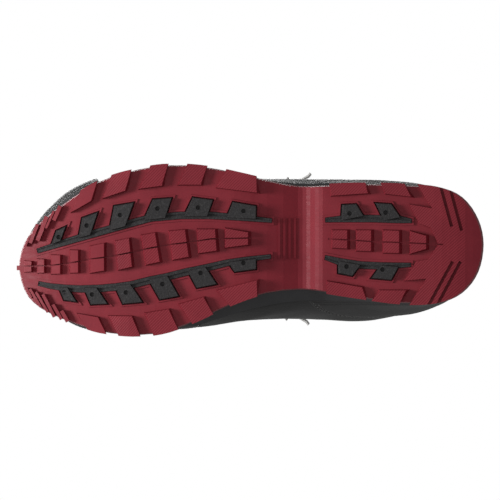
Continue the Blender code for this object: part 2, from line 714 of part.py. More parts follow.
# Rings from the feather line up to the collar: back (x, z), front (x, z), the
# length over which the front rounds off, and the half-widths at the stations
# on the outer and the inner side.
RING_STATIONS = (-150, -105, -70, -35, 0, 50, 100, 150)
RINGS = [
    ((-144.5, 0), (144.0, 0), 60, (36, 37.5, 38.5, 39.5, 43, 49.5, 40, 24), (31, 32, 30, 29.5, 35, 48, 48, 38)),
    ((-147.0, 52), (143.0, 46), 56, (36, 39.5, 41, 42, 45.5, 51, 44, 28), (31, 34.5, 36.5, 38.5, 44.5, 51, 50, 38)),
    ((-145.0, 66), (127.0, 62), 72, (36, 40.5, 43, 44, 46, 49, 42, 28), (32, 37.5, 41.5, 42.5, 45, 49.5, 47.5, 36)),
    ((-142.0, 84), (88.0, 77), 110, (35.5, 41.5, 45, 45.7, 45.5, 46, 42, 30), (33, 40, 45.5, 44.2, 44.8, 46, 44, 34)),
    ((-139.5, 104), (30.0, 100), 100, (34.5, 41, 45.2, 46, 44, 42, 40, 30), (33, 40.5, 46, 44, 43.5, 42, 40, 30)),
    ((-139.5, 134), (-11.0, 137), 60, (34, 40, 43.8, 44.2, 43, 42, 40, 30), (33, 40, 44, 43.4, 43, 42, 40, 30)),
    ((-143.0, 165), (-26.0, 172), 56, (35, 41, 44, 44.2, 43, 42, 40, 30), (34.5, 41, 44, 43.6, 43, 42, 40, 30)),
]
PANEL_ROWS = (0.4, 0.8, 1.2, 1.6, 1.85, 2.05, 2.22, 2.4, 2.6, 2.85, 3.1, 3.35, 3.7, 4.1, 4.5, 4.95, 5.7, 6.03)
HEEL_ROUNDING = 42.0
END_POWER = 2.3
centre_line = profile([(-150, 3.5), (-100, 3), (-50, 1), (0, 1), (50, -1), (100, -6), (150, -10.6)])


def lifted(z):
    """A drawn height of the upper brought to the chosen collar height."""
    datum = float(feather(0.0667 * SOLE_LENGTH)[0])
    return datum + (z - SAMPLE_DATUM) * (COLLAR_HEIGHT - datum) / (SAMPLE_COLLAR_HEIGHT - SAMPLE_DATUM)


def ring_points(index, around):
    """Points of one ring; around runs from -0.5 to 0.5, outer side positive."""
    (back_x, back_z), (front_x, front_z), rounding, outer, inner = RINGS[index]
    share = (1 - np.cos(2 * math.pi * around)) / 2
    drawn_x = back_x + (front_x - back_x) * share
    nose = np.clip(1 - (front_x - drawn_x) / rounding, 0, 1)
    heel = np.clip(1 - (drawn_x - back_x) / HEEL_ROUNDING, 0, 1)
    cap = ((1 - nose**END_POWER) * (1 - heel**END_POWER)) ** (1 / END_POWER)
    x = drawn_x * SOLE_LENGTH / SAMPLE_LENGTH
    middle = centre_line(x)
    sides = [pchip(RING_STATIONS, half)(drawn_x)[:, 0] for half in (outer, inner)]
    outwards = np.sin(2 * math.pi * around) >= 0
    y = np.where(outwards, middle + (sides[0] - middle) * cap, middle - (sides[1] + middle) * cap)
    z = feather(x) if index == 0 else lifted(back_z + (front_z - back_z) * share)
    return np.column_stack([x, y * SOLE_WIDTH / SAMPLE_WIDTH, z])


def surface(around, height):
    """Points of the last at ring heights 0 (feather line) to 6 (collar)."""
    around, height = np.broadcast_arrays(np.asarray(around, float), np.asarray(height, float))
    shape = around.shape
    flat_a, flat_h = around.ravel(), height.ravel()
    rings = np.stack([ring_points(k, flat_a) for k in range(len(RINGS))])
    curve = pchip(range(len(RINGS)), rings.reshape(len(RINGS), -1))
    out = np.empty((len(flat_a), 3))
    for level in np.unique(flat_h):
        at = flat_h == level
        out[at] = curve([level])[0].reshape(-1, 3)[at]
    return out.reshape(*shape, 3)


def offset_surface(around, height, offset):
    """Points of the last moved outwards by offset."""
    step = 1e-3
    du = surface(around + step, height) - surface(around - step, height)
    dt = surface(around, height + 4 * step) - surface(around, height - 4 * step)
    normal = np.cross(dt, du)
    normal /= np.linalg.norm(normal, axis=-1)[..., None]
    return surface(around, height) + normal * np.asarray(offset)[..., None]


def walked(height, distance, side, start):
    """around at an arc length from the front (start 0.5) or the back (0)."""
    line = np.linspace(0.0, 0.5, 240)
    if start:
        line = line[::-1]
    points = surface(line * side, np.full(line.shape, height))
    travelled = np.concatenate([[0], np.cumsum(np.linalg.norm(np.diff(points, axis=0), axis=1))])
    return side * float(np.interp(distance, travelled, line))


def from_front(distance, side):
    """An edge at distance(height) from the front centre line."""
    return lambda t: walked(t, float(distance(t)), side, 0.5)


def from_back(distance, side):
    return lambda t: walked(t, float(distance(t)), side, 0)


def at_x(place, side):
    """An edge at x = place(height), in sample millimetres."""

    def edge(t):
        back, front = (surface(a, t)[0] for a in (0.0, 0.5))
        share = (float(place(t)) * SOLE_LENGTH / SAMPLE_LENGTH - back) / (front - back)
        return side * math.acos(1 - 2 * min(max(share, 0.0), 1.0)) / (2 * math.pi)

    return edge


def by_height(points):
    curve = pchip([p[0] for p in points], [p[1] for p in points])
    return lambda t: float(curve(t)[0, 0])


def panel(name, start, end, low, high, inner, outer, columns, spec):
    """A closed panel over the last between two edges and two ring heights.

    Layers share their rows, so that their facets stay parallel. outer may be
    a number or a function of (height, share across)."""
    v = np.linspace(0, 1, columns + 1)
    between = [t for t in PANEL_ROWS if low + 0.1 < t < high - 0.1]
    heights = np.array([low, *between, high])
    around = np.empty((columns + 1, len(heights)))
    for j, t in enumerate(heights):
        a, b = start(t), end(t)
        if b < a:
            b += 1.0
        around[:, j] = a + (b - a) * v
    tt = np.broadcast_to(heights, around.shape)
    reach = outer if callable(outer) else lambda t, share: outer
    outward = np.array([[reach(t, share) for t in heights] for share in v])
    skins = [offset_surface(around, tt, np.full(around.shape, inner))]
    skins.append(offset_surface(around, tt, outward))
    return solid(name, *stitched(skins), spec)


def stitched(skins):
    """Points and faces of the body between two grids of the same size."""
    columns, rows = skins[0].shape[0] - 1, skins[0].shape[1] - 1
    count = (columns + 1) * (rows + 1)
    points = np.vstack([skin.reshape(-1, 3) for skin in skins])
    at = lambda i, j, k: int(k * count + i * (rows + 1) + j)
    faces = []
    for i in range(columns):
        for j in range(rows):
            for k in (0, 1):
                quad = [at(i, j, k), at(i, j + 1, k), at(i + 1, j + 1, k), at(i + 1, j, k)]
                faces.append(tuple(quad if k else quad[::-1]))
    rim = [(i, 0) for i in range(columns)] + [(columns, j) for j in range(rows)]
    rim += [(i, rows) for i in range(columns, 0, -1)] + [(0, j) for j in range(rows, 0, -1)]
    for (i, j), (p, q) in zip(rim, rim[1:] + rim[:1]):
        faces.append((at(i, j, 0), at(p, q, 0), at(p, q, 1), at(i, j, 1)))
    return points, faces


# --- the upper's pieces ------------------------------------------------------

THROAT = 3.35
COLLAR_FOOT = 5.42
COLLAR_TOP = 6.03
TONGUE_FOOT = 2.85
TONGUE_TOP = 6.4
FOOT_START = 0.03
LINING_START = 0.26
SEAM_STEP = 0.012
opening = by_height([(3.0, 14), (THROAT, 15), (4, 20), (5, 30), (5.5, 33), (6, 34), (6.6, 34)])
vamp_back = by_height([(0, 30), (1, 34), (2, 44), (3, 62), (THROAT, 66)])
counter_front = by_height([(0, -36), (1, -46), (1.6, -56), (2.2, -84), (2.7, -112)])
toe_cap_back = by_height([(0, 96), (1, 98), (2, 104), (2.45, 112)])

# Offsets of each layer's inner and outer face from the last.
BASE = (-LEATHER, 0.0)
OVERLAY = (LAYER_GAP, LAYER_GAP + LEATHER)
STIFF = (BASE[0] - LAYER_GAP - STIFFENER, BASE[0] - LAYER_GAP)
LINED = (STIFF[0] - LAYER_GAP - LINING, STIFF[0] - LAYER_GAP)
COLLAR = (LINED[0], COLLAR_BULGE)
UNDER = (LINED[0] - 2 * LAYER_GAP - TONGUE_THICKNESS, LINED[0] - 2 * LAYER_GAP)


def moved(edge, amount):
    """The edge moved towards the front along the ring, in millimetres."""

    def shifted(t):
        a = edge(t)
        side = 1 if a >= 0 else -1
        step = 1e-3
        pace = np.linalg.norm(surface(abs(a) + step, t) - surface(abs(a) - step, t)) / (2 * step)
        return side * (abs(a) + amount / pace)

    return shifted


def joined(below, above, height):
    return lambda t: below(t) if t < height else above(t)


def lace_edge(extra, side):
    """The edge of the lacing opening, extra millimetres further back."""
    return from_front(lambda t: opening(t) + extra, side)


def centred(half_width):
    """Both edges of a strip over the heel, half_width(height) each side."""
    return from_back(half_width, -1), from_back(half_width, 1)


def make_shell():
    """Vamp and quarters, their overlays, stiffeners and linings."""
    seams = {side: at_x(vamp_back, side) for side in (1, -1)}
    top = THROAT - SEAM_STEP
    panel("vamp", seams[1], seams[-1], FOOT_START, top, *BASE, 24, LEATHER_BLACK)
    for name, side in (("quarter_outer", 1), ("quarter_inner", -1)):
        back = from_back(lambda t: GAP / 2, side)
        front = joined(moved(seams[side], -2 * GAP), lace_edge(0.0, side), THROAT)
        edges = (back, front) if side > 0 else (front, back)
        panel(name, *edges, FOOT_START, COLLAR_FOOT, *BASE, 14, LEATHER_BLACK)
    toe = [at_x(toe_cap_back, side) for side in (1, -1)]
    panel("toe_cap", *toe, 0.08, 2.4, *OVERLAY, 22, LEATHER_BLACK)
    heel = [at_x(counter_front, side) for side in (-1, 1)]
    panel("heel_counter", *heel, 0.08, 2.6, *OVERLAY, 26, LEATHER_BLACK)
    stay = centred(by_height([(2.6, BACKSTAY_HALF_WIDTH), (COLLAR_FOOT, BACKSTAY_HALF_WIDTH * 0.85)]))
    panel("backstay", *stay, 2.6 + SEAM_STEP, COLLAR_FOOT, *OVERLAY, 4, LEATHER_BLACK)
    for name, side in (("eyestay_outer", 1), ("eyestay_inner", -1)):
        edges = [lace_edge(EYESTAY_WIDTH, side), lace_edge(0.0, side)][::side]
        panel(name, *edges, THROAT + SEAM_STEP, COLLAR_FOOT, *OVERLAY, 4, LEATHER_BLACK)
    inner_toe = [at_x(by_height([(0, 104), (2.1, 116)]), side) for side in (1, -1)]
    panel("toe_puff", *inner_toe, 0.2, 2.0, *STIFF, 14, FIBRE_BOARD)
    inner_heel = [at_x(by_height([(0, -92), (2.2, -112)]), side) for side in (-1, 1)]
    panel("heel_stiffener", *inner_heel, 0.2, 2.2, *STIFF, 16, FIBRE_BOARD)
    panel("vamp_lining", seams[1], seams[-1], LINING_START, top, *LINED, 20, LINING_CLOTH)
    wrap = [
        joined(moved(seams[side], -2 * GAP), lace_edge(0.0, side), THROAT) for side in (-1, 1)
    ]
    panel("quarter_lining", *wrap, LINING_START, COLLAR_FOOT, *LINED, 28, LINING_CLOTH)
    rim = [lace_edge(0.0, side) for side in (-1, 1)]
    panel("collar", *rim, COLLAR_FOOT + SEAM_STEP, COLLAR_TOP, *COLLAR, 28, PADDING)


def make_tongue():
    """The padded tongue, crowned where the lacing opening frees it."""
    reach = by_height([(TONGUE_FOOT, 24), (4, 33), (5, 42), (TONGUE_TOP, 46)])
    edges = [from_front(reach, 1), from_front(reach, -1)]

    def outer(t, share):
        across = abs(2 * share - 1) * reach(t)
        free = min(max((opening(t) - 4.0 - across) / 6.0, 0.0), 1.0)
        along = min(max((t - THROAT - 0.1) / 0.35, 0.0), 1.0)
        return UNDER[1] + TONGUE_CROWN * free * free * (3 - 2 * free) * along

    panel("tongue", *edges, TONGUE_FOOT, TONGUE_TOP, UNDER[0], outer, 14, PADDING)


# --- the sole's upper layers -------------------------------------------------


def feather_outline(distance):
    """The feather line's outline moved inwards by distance."""
    line = surface(np.linspace(0.5, -0.5, 160, endpoint=False), 0.0)[:, :2]
    return inset(line, distance)


def cosine_shares(count):
    return (1 - np.cos(np.linspace(0, math.pi, count))) / 2


def make_midsole():
    under = lambda x: outsole_top(x) + GAP
    waist = lambda x: outsole_top(x) + GAP + 0.4 * midsole_thickness(x)
    over = lambda x: feather(x) - GAP
    rings = [
        (inset(SOLE_OUTLINE, SOLE_EDGE_INSET), under),
        (inset(SOLE_OUTLINE, SOLE_EDGE_INSET + 1.6), waist),
        (feather_outline(-MIDSOLE_RIM), over),
    ]
    midsole = solid("midsole", *plate(rings, cosine_shares(34)), MIDSOLE_FOAM)
    half = (SHANK_LENGTH / 2 + GAP, SHANK_WIDTH / 2 + GAP)
    slot_floor = lambda x: feather(x) - 3 * GAP - SHANK_THICKNESS
    slot = shank_body(half, slot_floor, lambda x: feather(x) + 10)
    boolean(midsole, solid("shank_slot", *slot, None), "DIFFERENCE")


def shank_body(half, low, high):
    x = graded([(SHANK_PLACE[0], 0)])[0, 0] + np.linspace(-half[0], half[0], 14)
    y = graded([(0, SHANK_PLACE[1])])[0, 1]
    return bar(np.column_stack([x, x * 0 + y + half[1]]), np.column_stack([x, x * 0 + y - half[1]]), low, high)


SHANK_PLACE = (-30.0, 4.0)


def make_footing():
    """Shank, insole board and footbed."""
    low = lambda x: feather(x) - 2 * GAP - SHANK_THICKNESS
    high = lambda x: feather(x) - 2 * GAP
    solid("shank", *shank_body((SHANK_LENGTH / 2, SHANK_WIDTH / 2), low, high), STEEL)
    line = feather_outline(LEATHER + 2 * GAP)
    rings = [(line, lambda x: feather(x) + GAP), (line, lambda x: feather(x) + GAP + BOARD_THICKNESS)]
    solid("insole_board", *plate(rings, cosine_shares(28)), FIBRE_BOARD)
    base = BOARD_THICKNESS + 2 * GAP
    side = -LINED[0] + 3 * GAP
    rings = [
        (feather_outline(side + 1.5), lambda x: feather(x) + base),
        (feather_outline(side), lambda x: feather(x) + base + FOOTBED_THICKNESS + 1.0),
        (feather_outline(side + 3.0), lambda x: feather(x) + base + FOOTBED_THICKNESS),
    ]
    solid("footbed", *plate(rings, cosine_shares(28)), LINING_CLOTH)


# --- metalwork ---------------------------------------------------------------


def swept(path, radius, sides, closed):
    """A round wire along a path."""
    p = np.asarray(path, float)
    n = len(p)
    along = np.roll(p, -1, axis=0) - np.roll(p, 1, axis=0) if closed else np.gradient(p, axis=0)
    along /= np.linalg.norm(along, axis=1)[:, None]
    across = np.cross(along[0], (0.3, 0.5, 0.81))
    points = []
    for k in range(n):
        across = across - along[k] * (across @ along[k])
        across /= np.linalg.norm(across)
        other = np.cross(along[k], across)
        for turn in np.linspace(0, 2 * math.pi, sides, endpoint=False):
            points.append(p[k] + radius * (math.cos(turn) * across + math.sin(turn) * other))
    faces = []
    for k in range(n if closed else n - 1):
        m = (k + 1) % n
        shift = 0
        if closed and m == 0:
            first = points[0] - p[0]
            gaps = [np.linalg.norm(points[k * sides + j] - p[k] - first) for j in range(sides)]
            shift = int(np.argmin(gaps))
        for j in range(sides):
            a, b = k * sides + (j + shift) % sides, k * sides + (j + 1 + shift) % sides
            faces.append((a, b, m * sides + (j + 1) % sides, m * sides + j))
    if not closed:
        faces += [tuple(range(sides))[::-1], tuple(range((n - 1) * sides, n * sides))]
    return points, faces


def turned(path, sides):
    """A body turned about the first axis of its frame: (radius, height)."""
    points, faces = [], []
    for radius, height in path:
        for turn in np.linspace(0, 2 * math.pi, sides, endpoint=False):
            points.append((radius * math.cos(turn), radius * math.sin(turn), height))
    for k in range(len(path) - 1):
        for j in range(sides):
            m = (j + 1) % sides
            faces.append((k * sides + j, k * sides + m, (k + 1) * sides + m, (k + 1) * sides + j))
    top = len(path) - 1
    faces += [tuple(range(sides))[::-1], tuple(range(top * sides, (top + 1) * sides))]
    return points, faces


def fitting_frame(height, distance, side):
    """Origin and axes of a lace fitting on the eyestay: x to the opening,
    y up the boot, z off the leather."""
    around = walked(height, distance, side, 0.5)
    step = 2e-3
    front = surface(around + side * step, height) - surface(around - side * step, height)
    up = surface(around, height + step) - surface(around, height - step)
    x = front / np.linalg.norm(front)
    z = np.cross(x, up) * -side
    z /= np.linalg.norm(z)
    y = np.cross(z, x)
    turn = y if y @ up > 0 else -y
    return offset_surface(around, height, OVERLAY[1]), np.stack([x, turn, z])


def placed(points, frame):
    """Points of a fitting's own frame brought to the boot."""
    origin, axes = frame
    return np.asarray(points, float) @ axes + origin


def strip(path, thickness, width):
    """A bent sheet-metal or webbing strip: path in x and z, width along y."""
    p = np.asarray(path, float)
    along = np.gradient(p, axis=0)
    along /= np.linalg.norm(along, axis=1)[:, None]
    across = np.stack([-along[:, 1], along[:, 0]], axis=1) * thickness / 2
    line = np.vstack([p + across, (p - across)[::-1]])
    n, m = len(line), len(p)
    points = [(x, y, z) for y in (-width / 2, width / 2) for x, z in line]
    faces = [(i, (i + 1) % n, n + (i + 1) % n, n + i) for i in range(n)]
    for base in (0, n):
        faces += [(base + i, base + i + 1, base + n - 2 - i, base + n - 1 - i) for i in range(m - 1)]
    return np.array(points), faces


def arc(centre, radius, start, end, steps):
    turn = np.radians(np.linspace(start, end, steps))
    return [(centre[0] + radius * math.cos(a), centre[1] + radius * math.sin(a)) for a in turn]


RING_ROWS = (3.62, 4.0, 4.38)
HOOK_ROWS = (4.8, 5.17)
fitting_inset = by_height([(THROAT, 10), (4.4, 11), (5, 15)])
LIFT = 3.5 * GAP
BARREL_X = 2.8
BARREL_Z = LIFT + 1.5 * CLIP_SHEET + GAP + RING_WIRE / 2
RING_TILT = 10.0
HOOK_FOLD = 3.2
RIVET_X = {"clip": -5.2, "hook": -4.6}


def fitting_at(height, side):
    return fitting_frame(height, opening(height) + fitting_inset(height), side)


def ring_path():
    """The D-shaped ring's centre line about its bar, lying towards +x."""
    half = RING_WIDTH / 2
    corner = 2.2
    front = RING_REACH - half
    path = [(0, y) for y in np.linspace(-half + corner, half - corner, 4)]
    path += [(corner + corner * math.sin(a), half - corner + corner * math.cos(a)) for a in (-1.1, -0.5)]
    path += [(front + half * math.sin(a), half * math.cos(a)) for a in np.linspace(0, math.pi, 8)]
    path += [(corner + corner * math.sin(a), -half + corner - corner * math.cos(a)) for a in (-0.5, -1.1)]
    return [(x, y, 0.0) for x, y in path]


def tilted(points, degrees):
    a = math.radians(degrees)
    p = np.asarray(points, float)
    return np.column_stack([
        p[:, 0] * math.cos(a) - p[:, 2] * math.sin(a),
        p[:, 1],
        p[:, 0] * math.sin(a) + p[:, 2] * math.cos(a),
    ])


def rivet(name, frame, x, sheet_top):
    """A domed rivet whose shank stands in the fitting's hole."""
    head = sheet_top + GAP
    path = [(RIVET_SHANK_RADIUS, LIFT), (RIVET_SHANK_RADIUS, head), (RIVET_HEAD_RADIUS, head)]
    path += [(RIVET_HEAD_RADIUS * 0.92, head + 0.45), (RIVET_HEAD_RADIUS * 0.5, head + 0.85)]
    points, faces = turned(path, 8)
    solid(name, placed(np.asarray(points) + (x, 0, 0), frame), faces, NICKEL)


def rivet_hole(target, frame, x):
    points, faces = turned([(RIVET_SHANK_RADIUS + GAP, -3.0), (RIVET_SHANK_RADIUS + GAP, LIFT + 3)], 12)
    boolean(target, solid("hole", placed(np.asarray(points) + (x, 0, 0), frame), faces, None), "DIFFERENCE")


def make_ring_set(name, height, side):
    """A clip riveted to the eyestay and the D-ring that swings in it."""
    frame = fitting_at(height, side)
    mid = LIFT + CLIP_SHEET / 2
    curl = BARREL_Z - mid
    path = [(x, mid) for x in np.linspace(BARREL_X - CLIP_LENGTH, BARREL_X, 4)]
    path += arc((BARREL_X, BARREL_Z), curl, -70, 190, 12)
    points, faces = strip(path, CLIP_SHEET, CLIP_WIDTH)
    clip = solid("clip_" + name, placed(points, frame), faces, NICKEL)
    rivet_hole(clip, frame, RIVET_X["clip"])
    rivet("rivet_" + name, frame, RIVET_X["clip"], LIFT + CLIP_SHEET)
    points, faces = swept(ring_path(), RING_WIRE / 2, 6, True)
    points = tilted(points, RING_TILT) + (BARREL_X, 0, BARREL_Z)
    origin = placed([(BARREL_X, 0, BARREL_Z)], frame)[0]
    solid("ring_" + name, placed(points, frame), faces, NICKEL, origin)


def make_hook(name, height, side):
    """A riveted lace hook, folded at the opening side and open behind."""
    frame = fitting_at(height, side)
    low = LIFT + HOOK_SHEET / 2
    path = [(x, low) for x in (-7.4, -4.0, 0.0)]
    path += arc((HOOK_FOLD, low + HOOK_REACH / 2), HOOK_REACH / 2, -90, 90, 9)
    path += [(0.0, low + HOOK_REACH + 0.1), (-3.6, low + HOOK_REACH + 0.4), (-5.6, low + HOOK_REACH + 1.5)]
    points, faces = strip(path, HOOK_SHEET, HOOK_WIDTH)
    hook = solid("hook_" + name, placed(points, frame), faces, NICKEL)
    rivet_hole(hook, frame, RIVET_X["hook"])
    rivet("rivet_hook_" + name, frame, RIVET_X["hook"], LIFT + HOOK_SHEET)


LOOP_WEBBING = 1.6
LOOP_WIDTH = 16.0
LOOP_RISE = 13.0
LOOP_STANDOFF = 1.9


def make_pull_loop():
    """A webbing loop over the back of the collar."""
    out = OVERLAY[1] + LAYER_GAP + LOOP_WEBBING / 2
    within = LINED[0] - LOOP_STANDOFF - LOOP_WEBBING / 2
    legs = [offset_surface(0.0, t, out) for t in (5.0, 5.25, 5.5, 5.75, COLLAR_TOP)]
    back = [offset_surface(0.0, t, within) for t in (COLLAR_TOP, 5.75, 5.5, 5.25)]
    a, b = legs[-1], back[0]
    middle, half = (a + b) / 2, abs(b[0] - a[0]) / 2
    top = arc((middle[0], middle[2] + LOOP_RISE), half, 180, 0, 9)
    path = [(p[0], p[2]) for p in legs] + top + [(p[0], p[2]) for p in back]
    points, faces = strip(path, LOOP_WEBBING, LOOP_WIDTH)
    solid("pull_loop", points + (0, middle[1], 0), faces, WEBBING)


# --- lace --------------------------------------------------------------------

LACE = 3.2
KNOT_HEIGHT = 5.31
KNOT_SIZE = (10.2, 8.0, 5.6)
# The lace's way round a ring and round a hook, in the fitting's own frame.
ROUND_RING = [(14.5, -2.2, 2.6), (10.5, -1.4, 2.2), (7.7, 0, 4.1), (8.3, 1.2, 8.0), (13.4, 2.4, 9.2)]
ROUND_HOOK = [(4.5, -5.9, 2.9), (-0.6, -3.0, 3.7), (-0.6, 3.0, 3.7), (4.5, 5.9, 2.9)]
OVER_EYESTAY = OVERLAY[1] + LACE / 2 + 5 * GAP
OVER_TONGUE = (1.9, 5.4)


def on_tongue(height, across, offset):
    """A point over the tongue: across is positive towards the outer side."""
    side = 1 if across >= 0 else -1
    return offset_surface(walked(height, abs(across), side, 0.5), height, offset)


def over_edge(height, side):
    """A point where the lace crosses the edge of the eyestay."""
    return on_tongue(height, side * (opening(height) + 1.5), OVER_EYESTAY)


def lace_route():
    """One lace from the knot down one side, across, and up the other."""
    rows = [(t, ROUND_RING) for t in RING_ROWS] + [(t, ROUND_HOOK) for t in HOOK_ROWS]
    heights = [(a + b) / 2 for (a, _), (b, _) in zip(rows, rows[1:])] + [KNOT_HEIGHT - 0.06]

    def climb(first):
        side, points = first, []
        for k, (t, way) in enumerate(rows):
            if way is ROUND_HOOK:
                points.append(over_edge(heights[k - 1] + 0.02, side))
            points += list(placed(way, fitting_at(t, side)))
            if way is ROUND_HOOK:
                points.append(over_edge(heights[k] - 0.02, side))
            if k < len(rows) - 1:
                points.append(on_tongue(heights[k], 0.0, OVER_TONGUE[(k + (first > 0)) % 2]))
                side = -side
        points.append(on_tongue(KNOT_HEIGHT - 0.02, side * 10.0, 2.0))
        points.append(on_tongue(KNOT_HEIGHT, side * (KNOT_SIZE[0] / 2 + GAP), 2.8))
        return points

    bar = [on_tongue(RING_ROWS[0], 0.0, 0.9)]
    return climb(1)[::-1] + bar + climb(-1)


def smooth_line(points, longest):
    """A smooth curve through the points, read closely where it bends."""
    p = np.asarray(points, float)
    p = np.vstack([2 * p[0] - p[1], p, 2 * p[-1] - p[-2]])
    line = []
    for a, b, c, d in zip(p, p[1:], p[2:], p[3:]):
        steps = max(1, round(np.linalg.norm(c - b) / longest))
        for s in np.linspace(0, 1, steps, endpoint=False):
            line.append(0.5 * (
                2 * b + (c - a) * s + (2 * a - 5 * b + 4 * c - d) * s**2
                + (3 * b - a - 3 * c + d) * s**3
            ))
    return [*line, p[-2]]


def cord(name, points):
    """A round cord along the points."""
    curve = bpy.data.curves.new(name, "CURVE")
    curve.dimensions = "3D"
    curve.bevel_depth = LACE / 2 * MM
    curve.bevel_resolution = 2
    curve.use_fill_caps = True
    spline = curve.splines.new("POLY")
    spline.points.add(len(points) - 1)
    for point, at in zip(spline.points, points):
        point.co = (*(np.asarray(at) * MM), 1.0)
    obj = bpy.data.objects.new(name, curve)
    bpy.context.scene.collection.objects.link(obj)
    curve.materials.append(material(WEBBING))


def make_lace():
    """The lace and the knot that its two ends run into."""
    cord("lace", smooth_line(lace_route(), 11.0))
    path = [(math.sin(a), -math.cos(a)) for a in np.linspace(0.25, math.pi - 0.25, 7)]
    points, faces = turned(path, 12)
    points = np.asarray(points)[:, [2, 0, 1]] * np.asarray(KNOT_SIZE) / 2
    middle = on_tongue(KNOT_HEIGHT, 0.0, 2.8)
    front = on_tongue(KNOT_HEIGHT, 0.0, 3.8) - middle
    up = np.cross(front, (0.0, 1.0, 0.0))
    axes = np.stack([(0.0, 1.0, 0.0), up / np.linalg.norm(up), front])
    solid("lace_knot", placed(points, (middle, axes)), faces, WEBBING)


def make_fittings():
    for side, word in ((1, "outer"), (-1, "inner")):
        for k, t in enumerate(RING_ROWS):
            make_ring_set(f"{word}_{k + 1}", t, side)
        for k, t in enumerate(HOOK_ROWS):
            make_hook(f"{word}_{k + 1}", t, side)


def clear_scene():
    for obj in list(bpy.data.objects):
        bpy.data.objects.remove(obj, do_unlink=True)


def main():
    clear_scene()
    make_outsole()
    for name in STRIPS:
        make_strip(name)
    make_midsole()
    make_footing()
    make_shell()
    make_tongue()
    make_fittings()
    make_pull_loop()
    make_lace()


main()
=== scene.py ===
"""Looks of a lace-up winter boot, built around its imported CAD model."""

import json
import math

import bmesh
import bpy
import numpy as np
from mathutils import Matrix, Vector, noise


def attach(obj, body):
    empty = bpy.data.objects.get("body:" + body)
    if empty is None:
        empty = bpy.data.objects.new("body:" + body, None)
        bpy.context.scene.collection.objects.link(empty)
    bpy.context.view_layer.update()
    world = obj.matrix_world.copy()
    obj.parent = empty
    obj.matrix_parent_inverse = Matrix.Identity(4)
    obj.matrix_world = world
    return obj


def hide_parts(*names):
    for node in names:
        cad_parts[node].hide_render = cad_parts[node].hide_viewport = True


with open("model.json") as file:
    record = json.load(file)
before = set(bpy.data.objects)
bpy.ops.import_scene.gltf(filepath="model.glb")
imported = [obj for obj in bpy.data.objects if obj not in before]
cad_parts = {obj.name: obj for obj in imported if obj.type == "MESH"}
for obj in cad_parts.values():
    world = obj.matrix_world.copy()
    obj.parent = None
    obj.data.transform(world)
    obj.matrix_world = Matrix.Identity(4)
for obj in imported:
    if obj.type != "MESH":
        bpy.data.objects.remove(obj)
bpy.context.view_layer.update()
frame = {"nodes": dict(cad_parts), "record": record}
nodes = frame["nodes"]
MM = 0.001


# --- camera, floor and light -------------------------------------------------


def set_the_stage():
    """A camera under the sole, a floor that hides nothing from below, soft light."""
    scene = bpy.context.scene
    scene.view_settings.view_transform = "Standard"
    data = bpy.data.cameras.new("camera")
    data.sensor_width, data.lens = 36.0, LENS
    camera = bpy.data.objects.new("camera", data)
    camera.location = (0.0, 0.0, -CAMERA_DISTANCE)
    camera.rotation_euler = (0.0, math.pi, 0.0)
    scene.collection.objects.link(camera)
    scene.camera = camera
    bpy.ops.mesh.primitive_circle_add(
        vertices=64, radius=3.0, fill_type="NGON", location=(0, 0, -0.0004)
    )
    floor = bpy.context.object
    floor.name = "floor"
    floor.visible_shadow = floor.visible_diffuse = floor.visible_glossy = False
    floor.data.materials.append(floor_material())
    world = bpy.data.worlds.new("studio")
    scene.world = world
    world.use_nodes = True
    tree = world.node_tree
    shade = tree.nodes["Background"]
    lit = tree.nodes.new("ShaderNodeBackground")
    lit.inputs["Strength"].default_value = WORLD_LIGHT
    shade.inputs["Color"].default_value = lit.inputs["Color"].default_value = (1, 1, 1, 1)
    path = tree.nodes.new("ShaderNodeLightPath")
    mix = tree.nodes.new("ShaderNodeMixShader")
    tree.links.new(path.outputs["Is Camera Ray"], mix.inputs[0])
    tree.links.new(lit.outputs[0], mix.inputs[1])
    tree.links.new(shade.outputs[0], mix.inputs[2])
    tree.links.new(mix.outputs[0], tree.nodes["World Output"].inputs["Surface"])
    for name, place, aim, size, power in LIGHTS:
        light = bpy.data.lights.new(name, "AREA")
        light.shape, light.size, light.energy = "DISK", size, power
        lamp = bpy.data.objects.new(name, light)
        lamp.location = place
        away = np.array(place, float) - np.array(aim, float)
        turn = math.atan2(away[1], away[0])
        tilt = math.acos(away[2] / np.linalg.norm(away))
        lamp.rotation_euler = (0.0, tilt, turn)
        scene.collection.objects.link(lamp)


# A long lens from far away, for almost no perspective.
LENS = 800.0
CAMERA_DISTANCE = 7.12
WORLD_LIGHT = 0.34
# Name, place, aim, size and power of each light.
LIGHTS = [
    ("toe_side_low", (1.45, 0.10, -0.80), (0, 0, 0), 0.5, 31.0),
    ("under_soft", (0.25, 0.0, -1.5), (0, 0, 0), 1.2, 5.0),
    ("overhead", (0.3, 0.15, 1.5), (0, 0, 0.1), 0.9, 15.0),
    ("toe_side_high", (1.3, 0.1, 0.7), (0, 0, 0.1), 0.6, 10.0),
]


# --- materials ---------------------------------------------------------------


